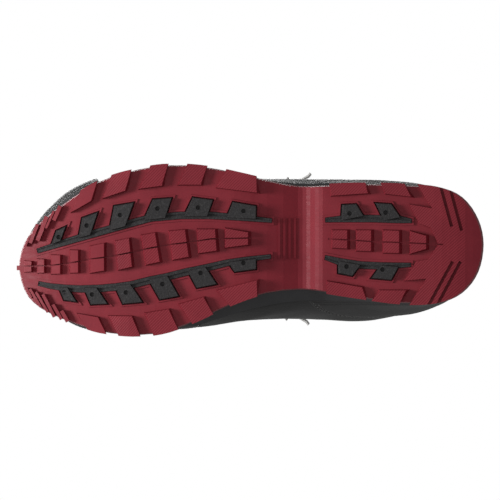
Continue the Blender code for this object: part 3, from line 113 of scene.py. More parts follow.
class Shade:
    """A small wrapper to write a material's nodes down briefly."""

    def __init__(self, name):
        self.material = bpy.data.materials.new(name)
        self.material.use_nodes = True
        self.tree = self.material.node_tree
        self.shader = self.tree.nodes["Principled BSDF"]
        self.place = self.add("TexCoord").outputs["Object"]

    def add(self, kind, **values):
        node = self.tree.nodes.new("ShaderNode" + kind)
        for key, value in values.items():
            setattr(node, key, value)
        return node

    def put(self, node, key, value):
        """Link a socket, or set its default."""
        socket = node.inputs[key]
        if hasattr(value, "is_linked"):
            self.tree.links.new(value, socket)
        else:
            socket.default_value = value

    def set(self, **values):
        for key, value in values.items():
            self.put(self.shader, key.replace("_", " "), value)

    def scaled(self, scale):
        """The object's coordinates, stretched on three axes."""
        node = self.add("Mapping")
        self.put(node, "Vector", self.place)
        node.inputs["Scale"].default_value = scale
        return node.outputs[0]

    def noise(self, scale, detail=3.0, rough=0.55, place=None):
        node = self.add("TexNoise")
        self.put(node, "Vector", place or self.place)
        self.put(node, "Scale", scale)
        self.put(node, "Detail", detail)
        self.put(node, "Roughness", rough)
        return node.outputs["Fac"]

    def cells(self, scale):
        node = self.add("TexVoronoi")
        self.put(node, "Vector", self.place)
        self.put(node, "Scale", scale)
        return node.outputs["Distance"]

    def waves(self, scale, direction, distortion):
        node = self.add("TexWave", bands_direction=direction)
        self.put(node, "Vector", self.place)
        self.put(node, "Scale", scale)
        self.put(node, "Distortion", distortion)
        return node.outputs["Fac"]

    def range(self, value, low, high, to_low, to_high):
        """A value moved from one range to another."""
        node = self.add("MapRange")
        for key, number in zip(("From Min", "From Max", "To Min", "To Max"), (low, high, to_low, to_high)):
            self.put(node, key, number)
        self.put(node, "Value", value)
        return node.outputs[0]

    def math(self, kind, a, b=0.0):
        node = self.add("Math", operation=kind)
        self.put(node, 0, a)
        self.put(node, 1, b)
        return node.outputs[0]

    def mix(self, share, a, b):
        node = self.add("Mix", data_type="RGBA")
        for index, value in ((0, share), (6, a), (7, b)):
            if hasattr(value, "is_linked"):
                self.tree.links.new(value, node.inputs[index])
            else:
                node.inputs[index].default_value = (*value, 1.0) if hasattr(value, "__len__") else value
        return node.outputs[2]

    def bump(self, *layers):
        """Bumps laid over each other: (height, distance in mm, strength)."""
        normal = None
        for height, distance, strength in layers:
            node = self.add("Bump")
            self.put(node, "Height", height)
            self.put(node, "Distance", distance * MM)
            self.put(node, "Strength", strength)
            if normal is not None:
                self.put(node, "Normal", normal)
            normal = node.outputs[0]
        self.set(Normal=normal)


def floor_material():
    """A plain light floor that is clear from below."""
    s = Shade("floor")
    clear = s.add("BsdfTransparent")
    mix = s.add("MixShader")
    s.set(Base_Color=(0.80, 0.80, 0.79, 1), Roughness=0.8)
    geometry = s.add("NewGeometry")
    s.tree.links.new(geometry.outputs["Backfacing"], mix.inputs[0])
    s.tree.links.new(s.shader.outputs[0], mix.inputs[1])
    s.tree.links.new(clear.outputs[0], mix.inputs[2])
    s.tree.links.new(mix.outputs[0], s.tree.nodes["Material Output"].inputs["Surface"])
    return s.material


def red_rubber():
    """Red rubber, clouded and scuffed, hatched on the tread."""
    s = Shade("moulded_red_rubber")
    cloud = s.noise(28.0, 4.0)
    fine = s.noise(900.0, 3.0, 0.6)
    scuff = s.noise(160.0, 5.0, 0.7, s.scaled((1.0, 2.6, 1.0)))
    tone = s.mix(s.range(cloud, 0.3, 0.7, 0.0, 1.0), (0.158, 0.0095, 0.018), (0.205, 0.0150, 0.025))
    tone = s.mix(s.range(scuff, 0.56, 0.74, 0.0, 0.28), tone, (0.25, 0.034, 0.042))
    tone = s.mix(s.range(fine, 0.35, 0.65, 0.0, 0.16), tone, (0.09, 0.010, 0.016))
    s.set(Base_Color=tone, Roughness=s.range(scuff, 0.3, 0.7, 0.50, 0.66), Specular_IOR_Level=0.22)
    height = s.add("SeparateXYZ")
    s.put(height, "Vector", s.place)
    on_tread = s.range(height.outputs["Z"], 0.0018, 0.0026, 1.0, 0.0)
    hatch = s.math("MULTIPLY", s.waves(330.0, "DIAGONAL", 1.2), on_tread)
    s.bump((hatch, 0.22, 0.55), (fine, 0.12, 0.5), (s.noise(2600.0, 2.0), 0.05, 0.5))
    return s.material


def black_rubber():
    """Black rubber with fine speckles."""
    s = Shade("speckled_black_rubber")
    grit = s.cells(1150.0)
    fine = s.noise(1900.0, 3.0, 0.7)
    tone = s.mix(s.range(fine, 0.35, 0.7, 0.0, 1.0), (0.011, 0.0105, 0.011), (0.034, 0.032, 0.033))
    tone = s.mix(s.range(s.noise(600.0, 4.0, 0.7), 0.52, 0.72, 0.0, 0.5), tone, (0.075, 0.072, 0.073))
    s.set(Base_Color=tone, Roughness=0.72, Specular_IOR_Level=0.22)
    s.bump((grit, 0.25, 0.5), (fine, 0.1, 0.5))
    return s.material


def leather(name, tone=(0.020, 0.0195, 0.0195), grain=620.0, rough=0.48):
    """Pebbled leather, uneven in sheen."""
    s = Shade(name)
    pebble = s.cells(grain)
    fine = s.noise(grain * 3.2, 3.0, 0.6)
    cloud = s.noise(30.0, 4.0)
    light = tuple(c * 1.7 + 0.006 for c in tone)
    colour = s.mix(s.range(cloud, 0.35, 0.7, 0.0, 0.8), tone, light)
    colour = s.mix(s.range(pebble, 0.0, 0.5, 0.35, 0.0), colour, light)
    s.set(Base_Color=colour, Specular_IOR_Level=0.28)
    s.set(Roughness=s.range(cloud, 0.3, 0.7, rough - 0.05, rough + 0.1))
    s.bump((s.range(pebble, 0.0, 0.75, 1.0, 0.0), 0.14, 0.5), (fine, 0.05, 0.5), (cloud, 0.6, 0.25))
    return s.material


def cloth(name, tone, scale=900.0, rough=0.9):
    """Woven cloth, from two crossed sets of waves."""
    s = Shade(name)
    weft = s.waves(scale, "DIAGONAL", 0.4)
    warp = s.waves(scale, "Y", 0.4)
    weave = s.math("MAXIMUM", weft, warp)
    fuzz = s.noise(2400.0, 3.0, 0.7)
    light = tuple(c * 1.9 + 0.01 for c in tone)
    s.set(Base_Color=s.mix(s.math("MULTIPLY", weave, fuzz), tone, light), Roughness=rough, Sheen_Weight=0.25)
    s.bump((weave, 0.25, 0.6), (fuzz, 0.12, 0.4))
    return s.material


def metal(name, tone=(0.62, 0.61, 0.59), rough=0.28):
    """Brushed metal, worn darker in places."""
    s = Shade(name)
    wear = s.noise(220.0, 4.0, 0.6)
    brushed = s.noise(900.0, 3.0, 0.6, s.scaled((1.0, 0.15, 1.0)))
    s.set(Base_Color=s.mix(s.range(wear, 0.45, 0.7, 0.0, 0.5), tone, tuple(c * 0.72 for c in tone)))
    s.set(Metallic=1.0, Roughness=s.range(brushed, 0.3, 0.7, rough - 0.06, rough + 0.12))
    s.bump((brushed, 0.03, 0.4))
    return s.material


def board(name, tone):
    """Pressed board with a fibre grain."""
    s = Shade(name)
    fibre = s.noise(700.0, 5.0, 0.7, s.scaled((0.4, 1.0, 1.0)))
    s.set(Base_Color=s.mix(fibre, tuple(c * 0.75 for c in tone), tone), Roughness=0.9)
    s.bump((fibre, 0.15, 0.5))
    return s.material


def foam():
    """Moulded foam with a skin of small cells."""
    s = Shade("moulded_foam")
    skin = s.cells(1300.0)
    s.set(Base_Color=s.mix(s.noise(60.0, 3.0), (0.020, 0.020, 0.021), (0.040, 0.040, 0.042)), Roughness=0.66)
    s.bump((skin, 0.12, 0.4), (s.noise(400.0, 3.0), 0.2, 0.3))
    return s.material


MATERIALS = {
    "red_rubber": red_rubber(),
    "black_rubber": black_rubber(),
    "midsole_foam": foam(),
    "black_leather": leather("grained_black_leather"),
    "padded_leather": leather("soft_padding_leather", (0.026, 0.026, 0.027), 900.0, 0.56),
    "lining_cloth": cloth("brushed_lining", (0.050, 0.050, 0.054)),
    "fibre_board": board("pressed_fibre_board", (0.45, 0.36, 0.25)),
    "thread": cloth("waxed_thread", (0.055, 0.053, 0.052), 2400.0, 0.6),
    "webbing": cloth("woven_cord", (0.022, 0.022, 0.023), 700.0, 0.8),
    "steel": metal("spring_steel", (0.45, 0.45, 0.46), 0.4),
    "nickel": metal("nickel_plate"),
}


def dress_cad_nodes():
    """Own materials for every CAD node, and rounded edges where they show."""
    for entry in frame["record"]["subparts"]:
        node = nodes[entry["node"]]
        node.data.materials.clear()
        node.data.materials.append(MATERIALS[entry["material_slot"]])
    widths = {"outsole": 0.45, "traction": 0.35, "clip": 0.2, "hook": 0.2, "midsole": 0.8}
    for name, node in nodes.items():
        for start, width in widths.items():
            if name.startswith(start):
                soften(node, width)
        if name.startswith(("ring", "rivet", "lace")):
            smooth(node, 60)


def soften(obj, width):
    """A small bevel, width in millimetres, on the sharp edges."""
    bevel = obj.modifiers.new("soft_edges", "BEVEL")
    bevel.width = width * MM
    bevel.segments = 2
    bevel.limit_method = "ANGLE"
    bevel.angle_limit = math.radians(32)
    bevel.use_clamp_overlap = True
    bevel.harden_normals = False
    bevel.miter_outer = "MITER_ARC"
    smooth(obj, 40)


def smooth(obj, degrees):
    """Smooth shading below an edge angle."""
    for polygon in obj.data.polygons:
        polygon.use_smooth = True
    obj.data.set_sharp_from_angle(angle=math.radians(degrees))


# --- the upper's surface -----------------------------------------------------

# Rings from the feather line up to the collar, as the CAD model's last has
# them: back (x, z), front (x, z), rounding, outer and inner half-widths.
STATIONS = (-150, -105, -70, -35, 0, 50, 100, 150)
RINGS = [
    ((-144.5, 0), (144.0, 0), 60,
     (36, 37.5, 38.5, 39.5, 43, 49.5, 40, 24), (31, 32, 30, 29.5, 35, 48, 48, 38)),
    ((-147.0, 52), (143.0, 46), 56,
     (36, 39.5, 41, 42, 45.5, 51, 44, 28), (31, 34.5, 36.5, 38.5, 44.5, 51, 50, 38)),
    ((-145.0, 66), (127.0, 62), 72,
     (36, 40.5, 43, 44, 46, 49, 42, 28), (32, 37.5, 41.5, 42.5, 45, 49.5, 47.5, 36)),
    ((-142.0, 84), (88.0, 77), 110,
     (35.5, 41.5, 45, 45.7, 45.5, 46, 42, 30), (33, 40, 45.5, 44.2, 44.8, 46, 44, 34)),
    ((-139.5, 104), (30.0, 100), 100,
     (34.5, 41, 45.2, 46, 44, 42, 40, 30), (33, 40.5, 46, 44, 43.5, 42, 40, 30)),
    ((-139.5, 134), (-11.0, 137), 60,
     (34, 40, 43.8, 44.2, 43, 42, 40, 30), (33, 40, 44, 43.4, 43, 42, 40, 30)),
    ((-143.0, 165), (-26.0, 172), 56,
     (35, 41, 44, 44.2, 43, 42, 40, 30), (34.5, 41, 44, 43.6, 43, 42, 40, 30)),
]
HEEL_ROUNDING, END_POWER = 42.0, 2.3
THROAT, COLLAR_FOOT = 3.35, 5.42
TONGUE_FOOT, TONGUE_TOP = 2.85, 6.4
STEP = 0.012
UPPER_START = 0.03
# Rings are drawn between these heights, and moved to start at the sole's edge.
DRAWN_DATUM, COLLAR_HEIGHT = 23.8, 172.0
DRAWN_RANGE = 148.2
SOLE_TO_PLATE = 4.8

# Offsets of each layer's inner and outer face from the last.
BASE = (-1.8, 0.0)
OVERLAY = (0.7, 2.5)
LINED = (-6.4, -4.4)
UNDER = (-11.8, -7.8)


def pchip(knots, values):
    """A smooth curve through values[k] at knots[k] that adds no bumps."""
    x = np.asarray(knots, float)
    y = np.asarray(values, float).reshape(len(x), -1)
    h = np.diff(x)[:, None]
    d = np.diff(y, axis=0) / h
    m = np.zeros_like(y)
    same = d[:-1] * d[1:] > 0
    w1, w2 = 2 * h[1:] + h[:-1], h[1:] + 2 * h[:-1]
    mean = (w1 + w2) * np.where(same, d[:-1] * d[1:], 1.0) / np.where(same, w1 * d[1:] + w2 * d[:-1], 1.0)
    m[1:-1] = np.where(same, mean, 0.0)
    m[0], m[-1] = d[0], d[-1]

    def curve(at):
        at = np.atleast_1d(np.asarray(at, float))
        i = np.clip(np.searchsorted(x, at) - 1, 0, len(x) - 2)
        hh = h[i]
        s = (at - x[i])[:, None] / hh
        t = np.clip(s, 0, 1)
        a, b, c, e = 2 * t**3 - 3 * t**2 + 1, t**3 - 2 * t**2 + t, 3 * t**2 - 2 * t**3, t**3 - t**2
        value = a * y[i] + b * hh * m[i] + c * y[i + 1] + e * hh * m[i + 1]
        return value + (s - t) * hh * np.where(s > 1, m[i + 1], m[i])

    return curve


def profile(points):
    """f(x) through given (x, value) points."""
    curve = pchip([p[0] for p in points], [p[1] for p in points])
    return lambda x: curve(x)[:, 0]


def by_height(points):
    """A single value at a ring height, through given points."""
    curve = profile(points)
    return lambda t: float(curve(t)[0])


plate_rise = profile(
    [(-150, 15.5), (-120, 12.5), (-60, 11.5), (-35, 13), (-10, 10.5), (20, 6), (60, 5.3)]
    + [(90, 8), (110, 11.5), (130, 16.5), (150, 24)]
)
midsole_thickness = profile([(-150, 15), (-50, 15.5), (20, 13), (90, 11), (125, 9), (150, 6.5)])
centre_line = profile([(-150, 3.5), (-100, 3), (-50, 1), (0, 1), (50, -1), (100, -6), (150, -10.6)])
opening = by_height([(3.0, 14), (THROAT, 15), (4, 20), (5, 30), (5.5, 33), (6, 34), (6.6, 34)])
vamp_back = by_height([(0, 30), (1, 34), (2, 44), (3, 62), (THROAT, 66)])
counter_front = by_height([(0, -36), (1, -46), (1.6, -56), (2.2, -84), (2.7, -112)])
toe_cap_back = by_height([(0, 96), (1, 98), (2, 104), (2.45, 112)])
HALVES = [[profile(list(zip(STATIONS, half))) for half in ring[3:]] for ring in RINGS]


def feather(x):
    """Height of the line where the upper meets the sole."""
    return SOLE_TO_PLATE + plate_rise(x) + midsole_thickness(x)


DATUM = float(feather(20.0)[0])


def ring_points(index, around):
    """One ring of the last; around is 0 at the heel, 0.5 at the toe."""
    (back_x, back_z), (front_x, front_z), rounding = RINGS[index][:3]
    share = (1 - np.cos(2 * math.pi * around)) / 2
    x = back_x + (front_x - back_x) * share
    nose = np.clip(1 - (front_x - x) / rounding, 0, 1)
    heel = np.clip(1 - (x - back_x) / HEEL_ROUNDING, 0, 1)
    cap = ((1 - nose**END_POWER) * (1 - heel**END_POWER)) ** (1 / END_POWER)
    middle = centre_line(x)
    outer, inner = (half(x) for half in HALVES[index])
    out = middle + (outer - middle) * cap
    y = np.where(np.sin(2 * math.pi * around) >= 0, out, middle - (inner + middle) * cap)
    drawn = back_z + (front_z - back_z) * share
    raised = DATUM + (drawn - DRAWN_DATUM) * (COLLAR_HEIGHT - DATUM) / DRAWN_RANGE
    z = feather(x) if index == 0 else raised
    return np.column_stack([x, y, z])


def row(around, height):
    """Points of the last at one ring height, 0 at the sole to 6 at the collar."""
    around = np.atleast_1d(np.asarray(around, float))
    rings = np.stack([ring_points(k, around) for k in range(len(RINGS))])
    return pchip(range(len(RINGS)), rings.reshape(len(RINGS), -1))([height])[0].reshape(-1, 3)


def run(points):
    """Distance travelled along a line of points."""
    return np.concatenate([[0.0], np.cumsum(np.linalg.norm(np.diff(points, axis=0), axis=1))])


def walked(height, distance, side, start):
    """around at a distance along the ring from its front (0.5) or back (0)."""
    line = np.linspace(0.0, 0.5, 200)[:: -1 if start else 1]
    return side * float(np.interp(distance, run(row(line * side, height)), line))


def from_front(distance, side):
    """An edge at distance(height) from the front centre line."""
    return lambda t: walked(t, distance(t), side, 0.5)


def from_back(distance, side):
    """An edge at distance(height) from the heel."""
    return lambda t: walked(t, distance(t), side, 0)


def at_x(place, side):
    """An edge at x = place(height)."""

    def edge(t):
        back, front = (row(a, t)[0, 0] for a in (0.0, 0.5))
        share = min(max((place(t) - back) / (front - back), 0.0), 1.0)
        return side * math.acos(1 - 2 * share) / (2 * math.pi)

    return edge


def moved(edge, amount):
    """The edge moved towards the front by a distance."""

    def shifted(t):
        a = edge(t)
        pace = np.linalg.norm(row(abs(a) + 1e-3, t) - row(abs(a) - 1e-3, t)) / 2e-3
        return (1 if a >= 0 else -1) * (abs(a) + amount / pace)

    return shifted


def joined(below, above, height):
    """One edge below a ring height and another above it."""
    return lambda t: below(t) if t < height else above(t)


def lace_edge(extra, side):
    """The edge of the lacing opening, extra millimetres further back."""
    return from_front(lambda t: opening(t) + extra, side)


# --- sewn pieces -------------------------------------------------------------

# Distances from a cut edge: the rounded lip, then the two stitch lines.
EDGE_STEPS = (0.0, 0.15, 0.4, 0.8, 1.3, 1.9, 2.3, 2.7, 3.4, 4.3, 4.7, 5.1, 6.0)
BOTH_LINES = (EDGE_STEPS.index(2.3), EDGE_STEPS.index(4.7))
ONE_LINE = BOTH_LINES[:1]
LIP_WIDTH = 1.1
GROOVE_DEPTH, GROOVE_WIDTH = 0.34, 0.42


def spaced(length, spacing):
    """Places along a length, close together near both ends."""
    fine = np.array(EDGE_STEPS) * min(1.0, length / 2.6 / EDGE_STEPS[-1])
    count = max(3, round((length - 2 * fine[-1]) / spacing))
    middle = np.linspace(fine[-1], length - fine[-1], count)
    return np.concatenate([fine[:-1], middle, length - fine[-2::-1]])


class Grid:
    """A patch of the last between two edges and two ring heights."""

    def __init__(self, start, end, low, high, spacing=2.2):
        half_way = (low + high) / 2
        middle = start(half_way) + ((end(half_way) - start(half_way)) % 1.0) / 2
        probe = np.linspace(low, high, 80)
        climb = run(np.array([row(middle, t)[0] for t in probe]))
        self.rise = spaced(climb[-1], spacing)
        self.heights = np.interp(self.rise, climb, probe)
        lines, shares = [], []
        across = None
        for t in self.heights:
            a, b = start(t), end(t)
            fine = a + ((b - a) % 1.0) * np.linspace(0, 1, 160)
            travelled = run(row(fine, t))
            if across is None:
                across = spaced(travelled[-1], spacing)
                share = across / travelled[-1]
            near = np.minimum(across, across[-1] - across) < EDGE_STEPS[-1]
            at = np.where(share < 0.5, across, travelled[-1] - (across[-1] - across))
            bounds = share[[len(EDGE_STEPS) - 1, -len(EDGE_STEPS)]]
            between = np.interp(share, bounds, [EDGE_STEPS[-1], travelled[-1] - EDGE_STEPS[-1]])
            at = np.sort(np.where(near, at, between))
            lines.append(np.interp(at, travelled, fine))
            shares.append(at / travelled[-1])
        self.points = np.stack([row(line, t) for line, t in zip(lines, self.heights)], axis=1)
        self.share = np.array(shares).T
        du, dv = np.gradient(self.points, axis=0), np.gradient(self.points, axis=1)
        normal = np.cross(dv, du)
        self.normals = normal / np.linalg.norm(normal, axis=-1)[..., None]
        side = np.minimum(across, across[-1] - across)[:, None]
        end_rise = np.minimum(self.rise, self.rise[-1] - self.rise)[None, :]
        self.edge = np.minimum(side, end_rise)
        self.side = side

    def skin(self, offset):
        """The patch moved outwards by offset."""
        return self.points + self.normals * np.asarray(offset)[..., None]


def creases(points, size, depth, seed):
    """A soft uneven height over the points."""
    heights = [
        noise.fractal(Vector(p) / size + Vector((seed, 0, 0)), 0.9, 2.1, 3)
        for p in points.reshape(-1, 3)
    ]
    return depth * np.array(heights).reshape(points.shape[:-1])


def rounded(lip):
    """How far a rounded edge falls: 0 inside it, near 1 at the cut."""
    return 1 - np.sqrt(1 - lip**2 * 0.96)


def sewn_relief(grid, crown, lines, seed, wrinkle=0.22):
    """Rounded lip, stitch grooves, a slight crown and uneven leather."""
    lip = np.clip(1 - grid.edge / LIP_WIDTH, 0, 1)
    height = -1.0 * rounded(lip) + crown * (1 - np.exp(-grid.edge / 7.0))
    for line in lines:
        height -= GROOVE_DEPTH * np.exp(-(((grid.edge - EDGE_STEPS[line]) / GROOVE_WIDTH) ** 2))
    calm = np.clip(grid.edge / 8.0, 0, 1)
    return height + calm * creases(grid.points, 13.0, wrinkle, seed)


def shell(points_in, points_out):
    """One closed body between two grids of points."""
    n, m = points_in.shape[:2]
    at = np.arange(2 * n * m).reshape(2, n, m)
    inner, outer = at
    quads = [
        np.stack(corners, -1).reshape(-1, 4)
        for corners in (
            [inner[:-1, :-1], inner[1:, :-1], inner[1:, 1:], inner[:-1, 1:]],
            [outer[:-1, :-1], outer[:-1, 1:], outer[1:, 1:], outer[1:, :-1]],
        )
    ]
    rim = np.concatenate([at[:, :-1, 0], at[:, -1, :-1], at[:, :0:-1, -1], at[:, 0, :0:-1]], axis=1)
    a, b = rim
    quads.append(np.stack([a, b, np.roll(b, -1), np.roll(a, -1)], -1))
    return np.concatenate([points_in.reshape(-1, 3), points_out.reshape(-1, 3)]), np.concatenate(quads)


def piece(name, points, faces, slot, replaced=(), finish=None):
    """A smooth closed body on the boot that stands for the CAD nodes replaced."""
    mesh = bpy.data.meshes.new(name)
    corners = [tuple(map(int, face)) for face in faces]
    mesh.from_pydata([tuple(p) for p in np.asarray(points) * MM], [], corners)
    mesh.materials.append(MATERIALS[finish or slot])
    for polygon in mesh.polygons:
        polygon.use_smooth = True
    obj = bpy.data.objects.new(name, mesh)
    bpy.context.scene.collection.objects.link(obj)
    outwards(mesh)
    mesh.set_sharp_from_angle(angle=math.radians(50))
    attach(obj, "boot")
    if replaced:
        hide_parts(*replaced)
    return obj


def outwards(mesh):
    """Turns every face of a closed body to the outside."""
    work = bmesh.new()
    work.from_mesh(mesh)
    bmesh.ops.recalc_face_normals(work, faces=work.faces)
    work.to_mesh(mesh)
    work.free()


def sewn(name, start, end, low, high, offsets, crown=0.5, lines=ONE_LINE, seed=1.0, sides="se"):
    """A leather panel, and its thread along the sides named: s and e are its
    first and last edge, t its top, b its bottom."""
    grid = Grid(start, end, low, high)
    outer = grid.skin(offsets[1] + sewn_relief(grid, crown, lines if sides else (), seed))
    points, faces = shell(grid.skin(np.full(grid.edge.shape, offsets[0])), outer)
    piece(name + "_leather", points, faces, "black_leather", (name,))
    for line in lines:
        reach = slice(line, -line)
        far = -1 - line
        picks = {"s": (line, reach), "e": (far, reach), "b": (reach, line), "t": (reach, far)}
        for side in sides:
            THREAD.append((outer[picks[side]], grid.normals[picks[side]]))


THREAD = []
STITCH_PITCH, STITCH_LENGTH = 3.1, 2.35
STITCH_WIDTH, STITCH_HEIGHT = 0.36, 0.34
STITCH_SIDES = 6
# Along the stitch and how full it is there, as shares of its length and size.
STITCH_SHAPE = ((-0.42, 0.7), (-0.2, 1.0), (0.2, 1.0), (0.42, 0.7))


def stitch_body():
    """Points and faces of one stitch, lying along x."""
    turns = np.linspace(0, 2 * math.pi, STITCH_SIDES, endpoint=False)
    points = [
        (
            x * STITCH_LENGTH,
            full * STITCH_WIDTH * math.cos(a),
            full * STITCH_HEIGHT * math.sin(a) + 0.1,
        )
        for x, full in STITCH_SHAPE
        for a in turns
    ]
    points += [(-STITCH_LENGTH / 2, 0, -0.05), (STITCH_LENGTH / 2, 0, -0.05)]
    n, last = STITCH_SIDES, (len(STITCH_SHAPE) - 1) * STITCH_SIDES
    pairs = [(j, (j + 1) % n) for j in range(n)]
    faces = [(k + j, k + m, k + n + m, k + n + j) for k in range(0, last, n) for j, m in pairs]
    faces += [(last + n, m, j) for j, m in pairs]
    faces += [(last + n + 1, last + j, last + m) for j, m in pairs]
    return np.array(points), faces


def at_distance(rows, travelled, at):
    """The row at a distance along a line whose rows lie at travelled."""
    return np.array([np.interp(at, travelled, rows[:, k]) for k in range(3)])


def make_thread():
    """Every stitch of the upper as a small raised stretch of thread."""
    shape, faces = stitch_body()
    points, all_faces = [], []
    for line, normal in THREAD:
        travelled = run(line)
        for at in np.arange(STITCH_PITCH / 2, travelled[-1] - STITCH_LENGTH / 2, STITCH_PITCH):
            x = at_distance(line, travelled, at + 0.6) - at_distance(line, travelled, at - 0.6)
            x /= np.linalg.norm(x)
            y = np.cross(at_distance(normal, travelled, at), x)
            y /= np.linalg.norm(y)
            first = len(points) * len(shape)
            here = at_distance(line, travelled, at)
            points.append(shape @ np.stack([x, y, np.cross(x, y)]) + here)
            all_faces += [tuple(i + first for i in face) for face in faces]
    piece("stitching_thread", np.concatenate(points), all_faces, "webbing", finish="thread")


def make_leather():
    """Every leather panel: low ones on the last, overlays above them."""
    seams = {side: at_x(vamp_back, side) for side in (1, -1)}
    top = THROAT - STEP
    sewn("vamp", seams[1], seams[-1], UPPER_START, top, BASE, 0.3, BOTH_LINES, 3.0, "t")
    for name, side, front_edge in (("quarter_outer", 1, "e"), ("quarter_inner", -1, "s")):
        back = from_back(lambda t: 0.15, side)
        front = joined(moved(seams[side], -0.6), lace_edge(0.0, side), THROAT)
        ends = (back, front)[::side]
        sewn(name, *ends, UPPER_START, COLLAR_FOOT, BASE, 0.3, BOTH_LINES, 5.0 + side, front_edge)
    toe = [at_x(toe_cap_back, side) for side in (1, -1)]
    sewn("toe_cap", *toe, 0.08, 2.4, OVERLAY, 0.5, BOTH_LINES, 1.0, "set")
    heel = [at_x(counter_front, side) for side in (-1, 1)]
    sewn("heel_counter", *heel, 0.08, 2.6, OVERLAY, 0.5, BOTH_LINES, 2.0, "set")
    width = by_height([(2.6, 12.0), (COLLAR_FOOT, 10.2)])
    stay = [from_back(width, side) for side in (-1, 1)]
    sewn("backstay", *stay, 2.6 + STEP, COLLAR_FOOT, OVERLAY, 0.4, ONE_LINE, 8.0)
    for name, side in (("eyestay_outer", 1), ("eyestay_inner", -1)):
        ends = [lace_edge(24.0, side), lace_edge(0.0, side)][::side]
        sewn(name, *ends, THROAT + STEP, COLLAR_FOOT, OVERLAY, 0.1, ONE_LINE, 9.0 + side, "seb")


def make_linings():
    """The soft linings behind the leather."""
    seams = {side: at_x(vamp_back, side) for side in (1, -1)}
    wrap = [
        joined(moved(seams[side], -0.6), lace_edge(0.0, side), THROAT) for side in (-1, 1)
    ]
    for name, start, end, high in (
        ("vamp_lining", seams[1], seams[-1], THROAT - STEP),
        ("quarter_lining", *wrap, COLLAR_FOOT),
    ):
        grid = Grid(start, end, 0.26, high, 3.5)
        inside = LINED[0] + creases(grid.points, 9.0, 0.3, 4.0)
        points, faces = shell(grid.skin(inside), grid.skin(np.full(grid.edge.shape, LINED[1])))
        piece(name + "_cloth", points, faces, "lining_cloth", (name,))


TONGUE_CROWN = 6.4
CHANNEL_PITCH = 15.0


def make_tongue():
    """The padded tongue: sewn channels across, a bound edge all round."""
    reach = by_height([(TONGUE_FOOT, 24), (4, 33), (5, 42), (TONGUE_TOP, 46)])
    grid = Grid(from_front(reach, 1), from_front(reach, -1), TONGUE_FOOT, TONGUE_TOP, 1.7)
    half = np.array([reach(t) for t in grid.heights])[None, :]
    clear = np.array([opening(t) for t in grid.heights])[None, :]
    across = np.abs(2 * grid.share - 1) * half
    free = np.clip((clear - 4.0 - across) / 6.0, 0, 1)
    along = np.clip((grid.heights[None, :] - THROAT - 0.1) / 0.35, 0, 1)
    outer = UNDER[1] + TONGUE_CROWN * free * free * (3 - 2 * free) * along
    place = grid.rise[None, :] % CHANNEL_PITCH
    channel = np.exp(-((np.minimum(place, CHANNEL_PITCH - place) / 1.3) ** 2))
    lip = np.clip(1 - grid.edge / 2.6, 0, 1)
    rounding = 1.5 * rounded(lip)
    outer = outer - 0.95 * channel * np.clip(grid.side / 5.0, 0, 1) - rounding
    outer = outer + creases(grid.points, 10.0, 0.25, 7.0)
    inner = UNDER[0] + rounding + 0.5 * channel
    points, faces = shell(grid.skin(inner), grid.skin(outer))
    piece("tongue_padding", points, faces, "padded_leather", ("tongue",))
    line = BOTH_LINES[1]
    skin = grid.skin(outer)
    for picked in ((line, slice(None)), (-1 - line, slice(None)), (slice(line, -line), -1 - line)):
        THREAD.append((skin[picked], grid.normals[picked]))


KNOT_SCALE = (1.28, 0.88, 1.35)
KNOT_CORD = 1.5


def make_knot():
    """The lace's knot: one cord drawn tight through itself."""
    turn = np.linspace(0, 2 * math.pi, 96, endpoint=False)
    x, y = np.sin(turn) + 2 * np.sin(2 * turn), np.cos(turn) - 2 * np.cos(2 * turn)
    way = np.column_stack([x, y, -np.sin(3 * turn)])
    up = (row(0.5, 5.36) - row(0.5, 5.26))[0]
    across = np.array([0.0, 1.0, 0.0])
    front = np.cross(across, up / np.linalg.norm(up))
    corners = np.array([tuple(v.co) for v in nodes["lace_knot"].data.vertices]) / MM
    path = (way * KNOT_SCALE) @ np.stack([across, np.cross(front, across), front]) + corners.mean(axis=0)
    points, faces = tube(path, KNOT_CORD, 12)
    piece("knot_cord", points, faces, "webbing", ("lace_knot",))


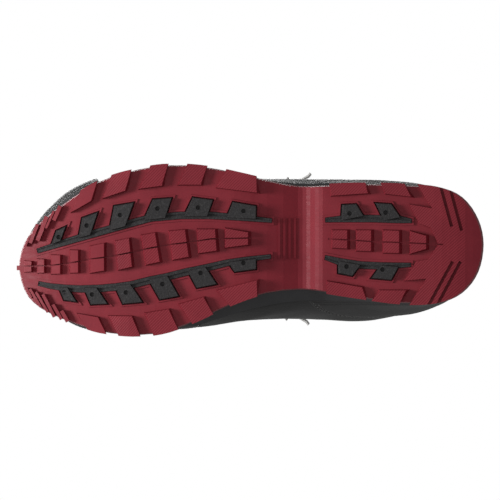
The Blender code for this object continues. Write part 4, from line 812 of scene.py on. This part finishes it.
def tube(path, radius, sides):
    """A closed round cord along a closed path."""
    n = len(path)
    along = np.roll(path, -1, axis=0) - np.roll(path, 1, axis=0)
    along /= np.linalg.norm(along, axis=1)[:, None]
    away = path - path.mean(axis=0)
    across = away - along * (away * along).sum(axis=1)[:, None]
    across /= np.linalg.norm(across, axis=1)[:, None]
    other = np.cross(along, across)
    turns = np.linspace(0, 2 * math.pi, sides, endpoint=False)
    points = [path + radius * (math.cos(a) * across + math.sin(a) * other) for a in turns]
    at = np.arange(n * sides).reshape(sides, n)
    right, below = np.roll(at, -1, axis=1), np.roll(at, -1, axis=0)
    faces = np.stack([at, right, np.roll(right, -1, axis=0), below], -1).reshape(-1, 4)
    return np.concatenate(points), faces


# The roll runs about this ring height and this offset from the last.
COLLAR_LEVEL, COLLAR_DEPTH = 5.732, -2.5
COLLAR_GROOVES = (5.63, 5.83)
COLLAR_LENGTH = 226.0


def make_collar():
    """The padded collar: three soft rolls with rounded ends."""
    turns = np.linspace(0, 2 * math.pi, 72, endpoint=False)
    power = lambda v: np.sign(v) * np.abs(v) ** 0.7
    levels = COLLAR_LEVEL + 0.288 * power(np.sin(turns))
    depth = COLLAR_DEPTH + 3.75 * power(np.cos(turns))
    for groove in COLLAR_GROOVES:
        depth -= 0.85 * np.sign(np.cos(turns)) * np.exp(-(((levels - groove) / 0.028) ** 2))
    edges = [lace_edge(0.4, side) for side in (-1, 1)]
    travel = spaced(COLLAR_LENGTH, 1.9) / COLLAR_LENGTH
    ring = []
    for level, out in zip(levels, depth):
        a, b = edges[0](level), edges[1](level)
        around = a + ((b - a) % 1.0) * travel
        here, up = row(around, level), row(around, level + 0.01) - row(around, level - 0.01)
        normal = np.cross(up, np.gradient(here, axis=0))
        normal /= np.linalg.norm(normal, axis=1)[:, None]
        offset = out + creases(here, 11.0, 0.3, 12.0) * np.sign(out - COLLAR_DEPTH)
        ring.append(here + normal * offset[:, None])
    ring = np.stack(ring, axis=1)
    centre = ring.mean(axis=1, keepdims=True)
    end = np.minimum(travel, 1 - travel) * COLLAR_LENGTH
    grow = np.sqrt(1 - np.clip(1 - (end + 0.05) / 4.5, 0, 1) ** 2)[:, None, None]
    ring = centre + (ring - centre) * grow
    n, m = ring.shape[:2]
    at = np.arange(n * m).reshape(n, m)
    nxt = np.roll(at, -1, axis=1)
    faces = np.stack([at[:-1], nxt[:-1], nxt[1:], at[1:]], -1).reshape(-1, 4).tolist()
    faces += [at[0, ::-1].tolist(), at[-1].tolist()]
    collar = piece("collar_padding", ring.reshape(-1, 3), faces, "padded_leather", ("collar",))


set_the_stage()
dress_cad_nodes()
make_leather()
make_linings()
make_tongue()
make_collar()
make_knot()
make_thread()
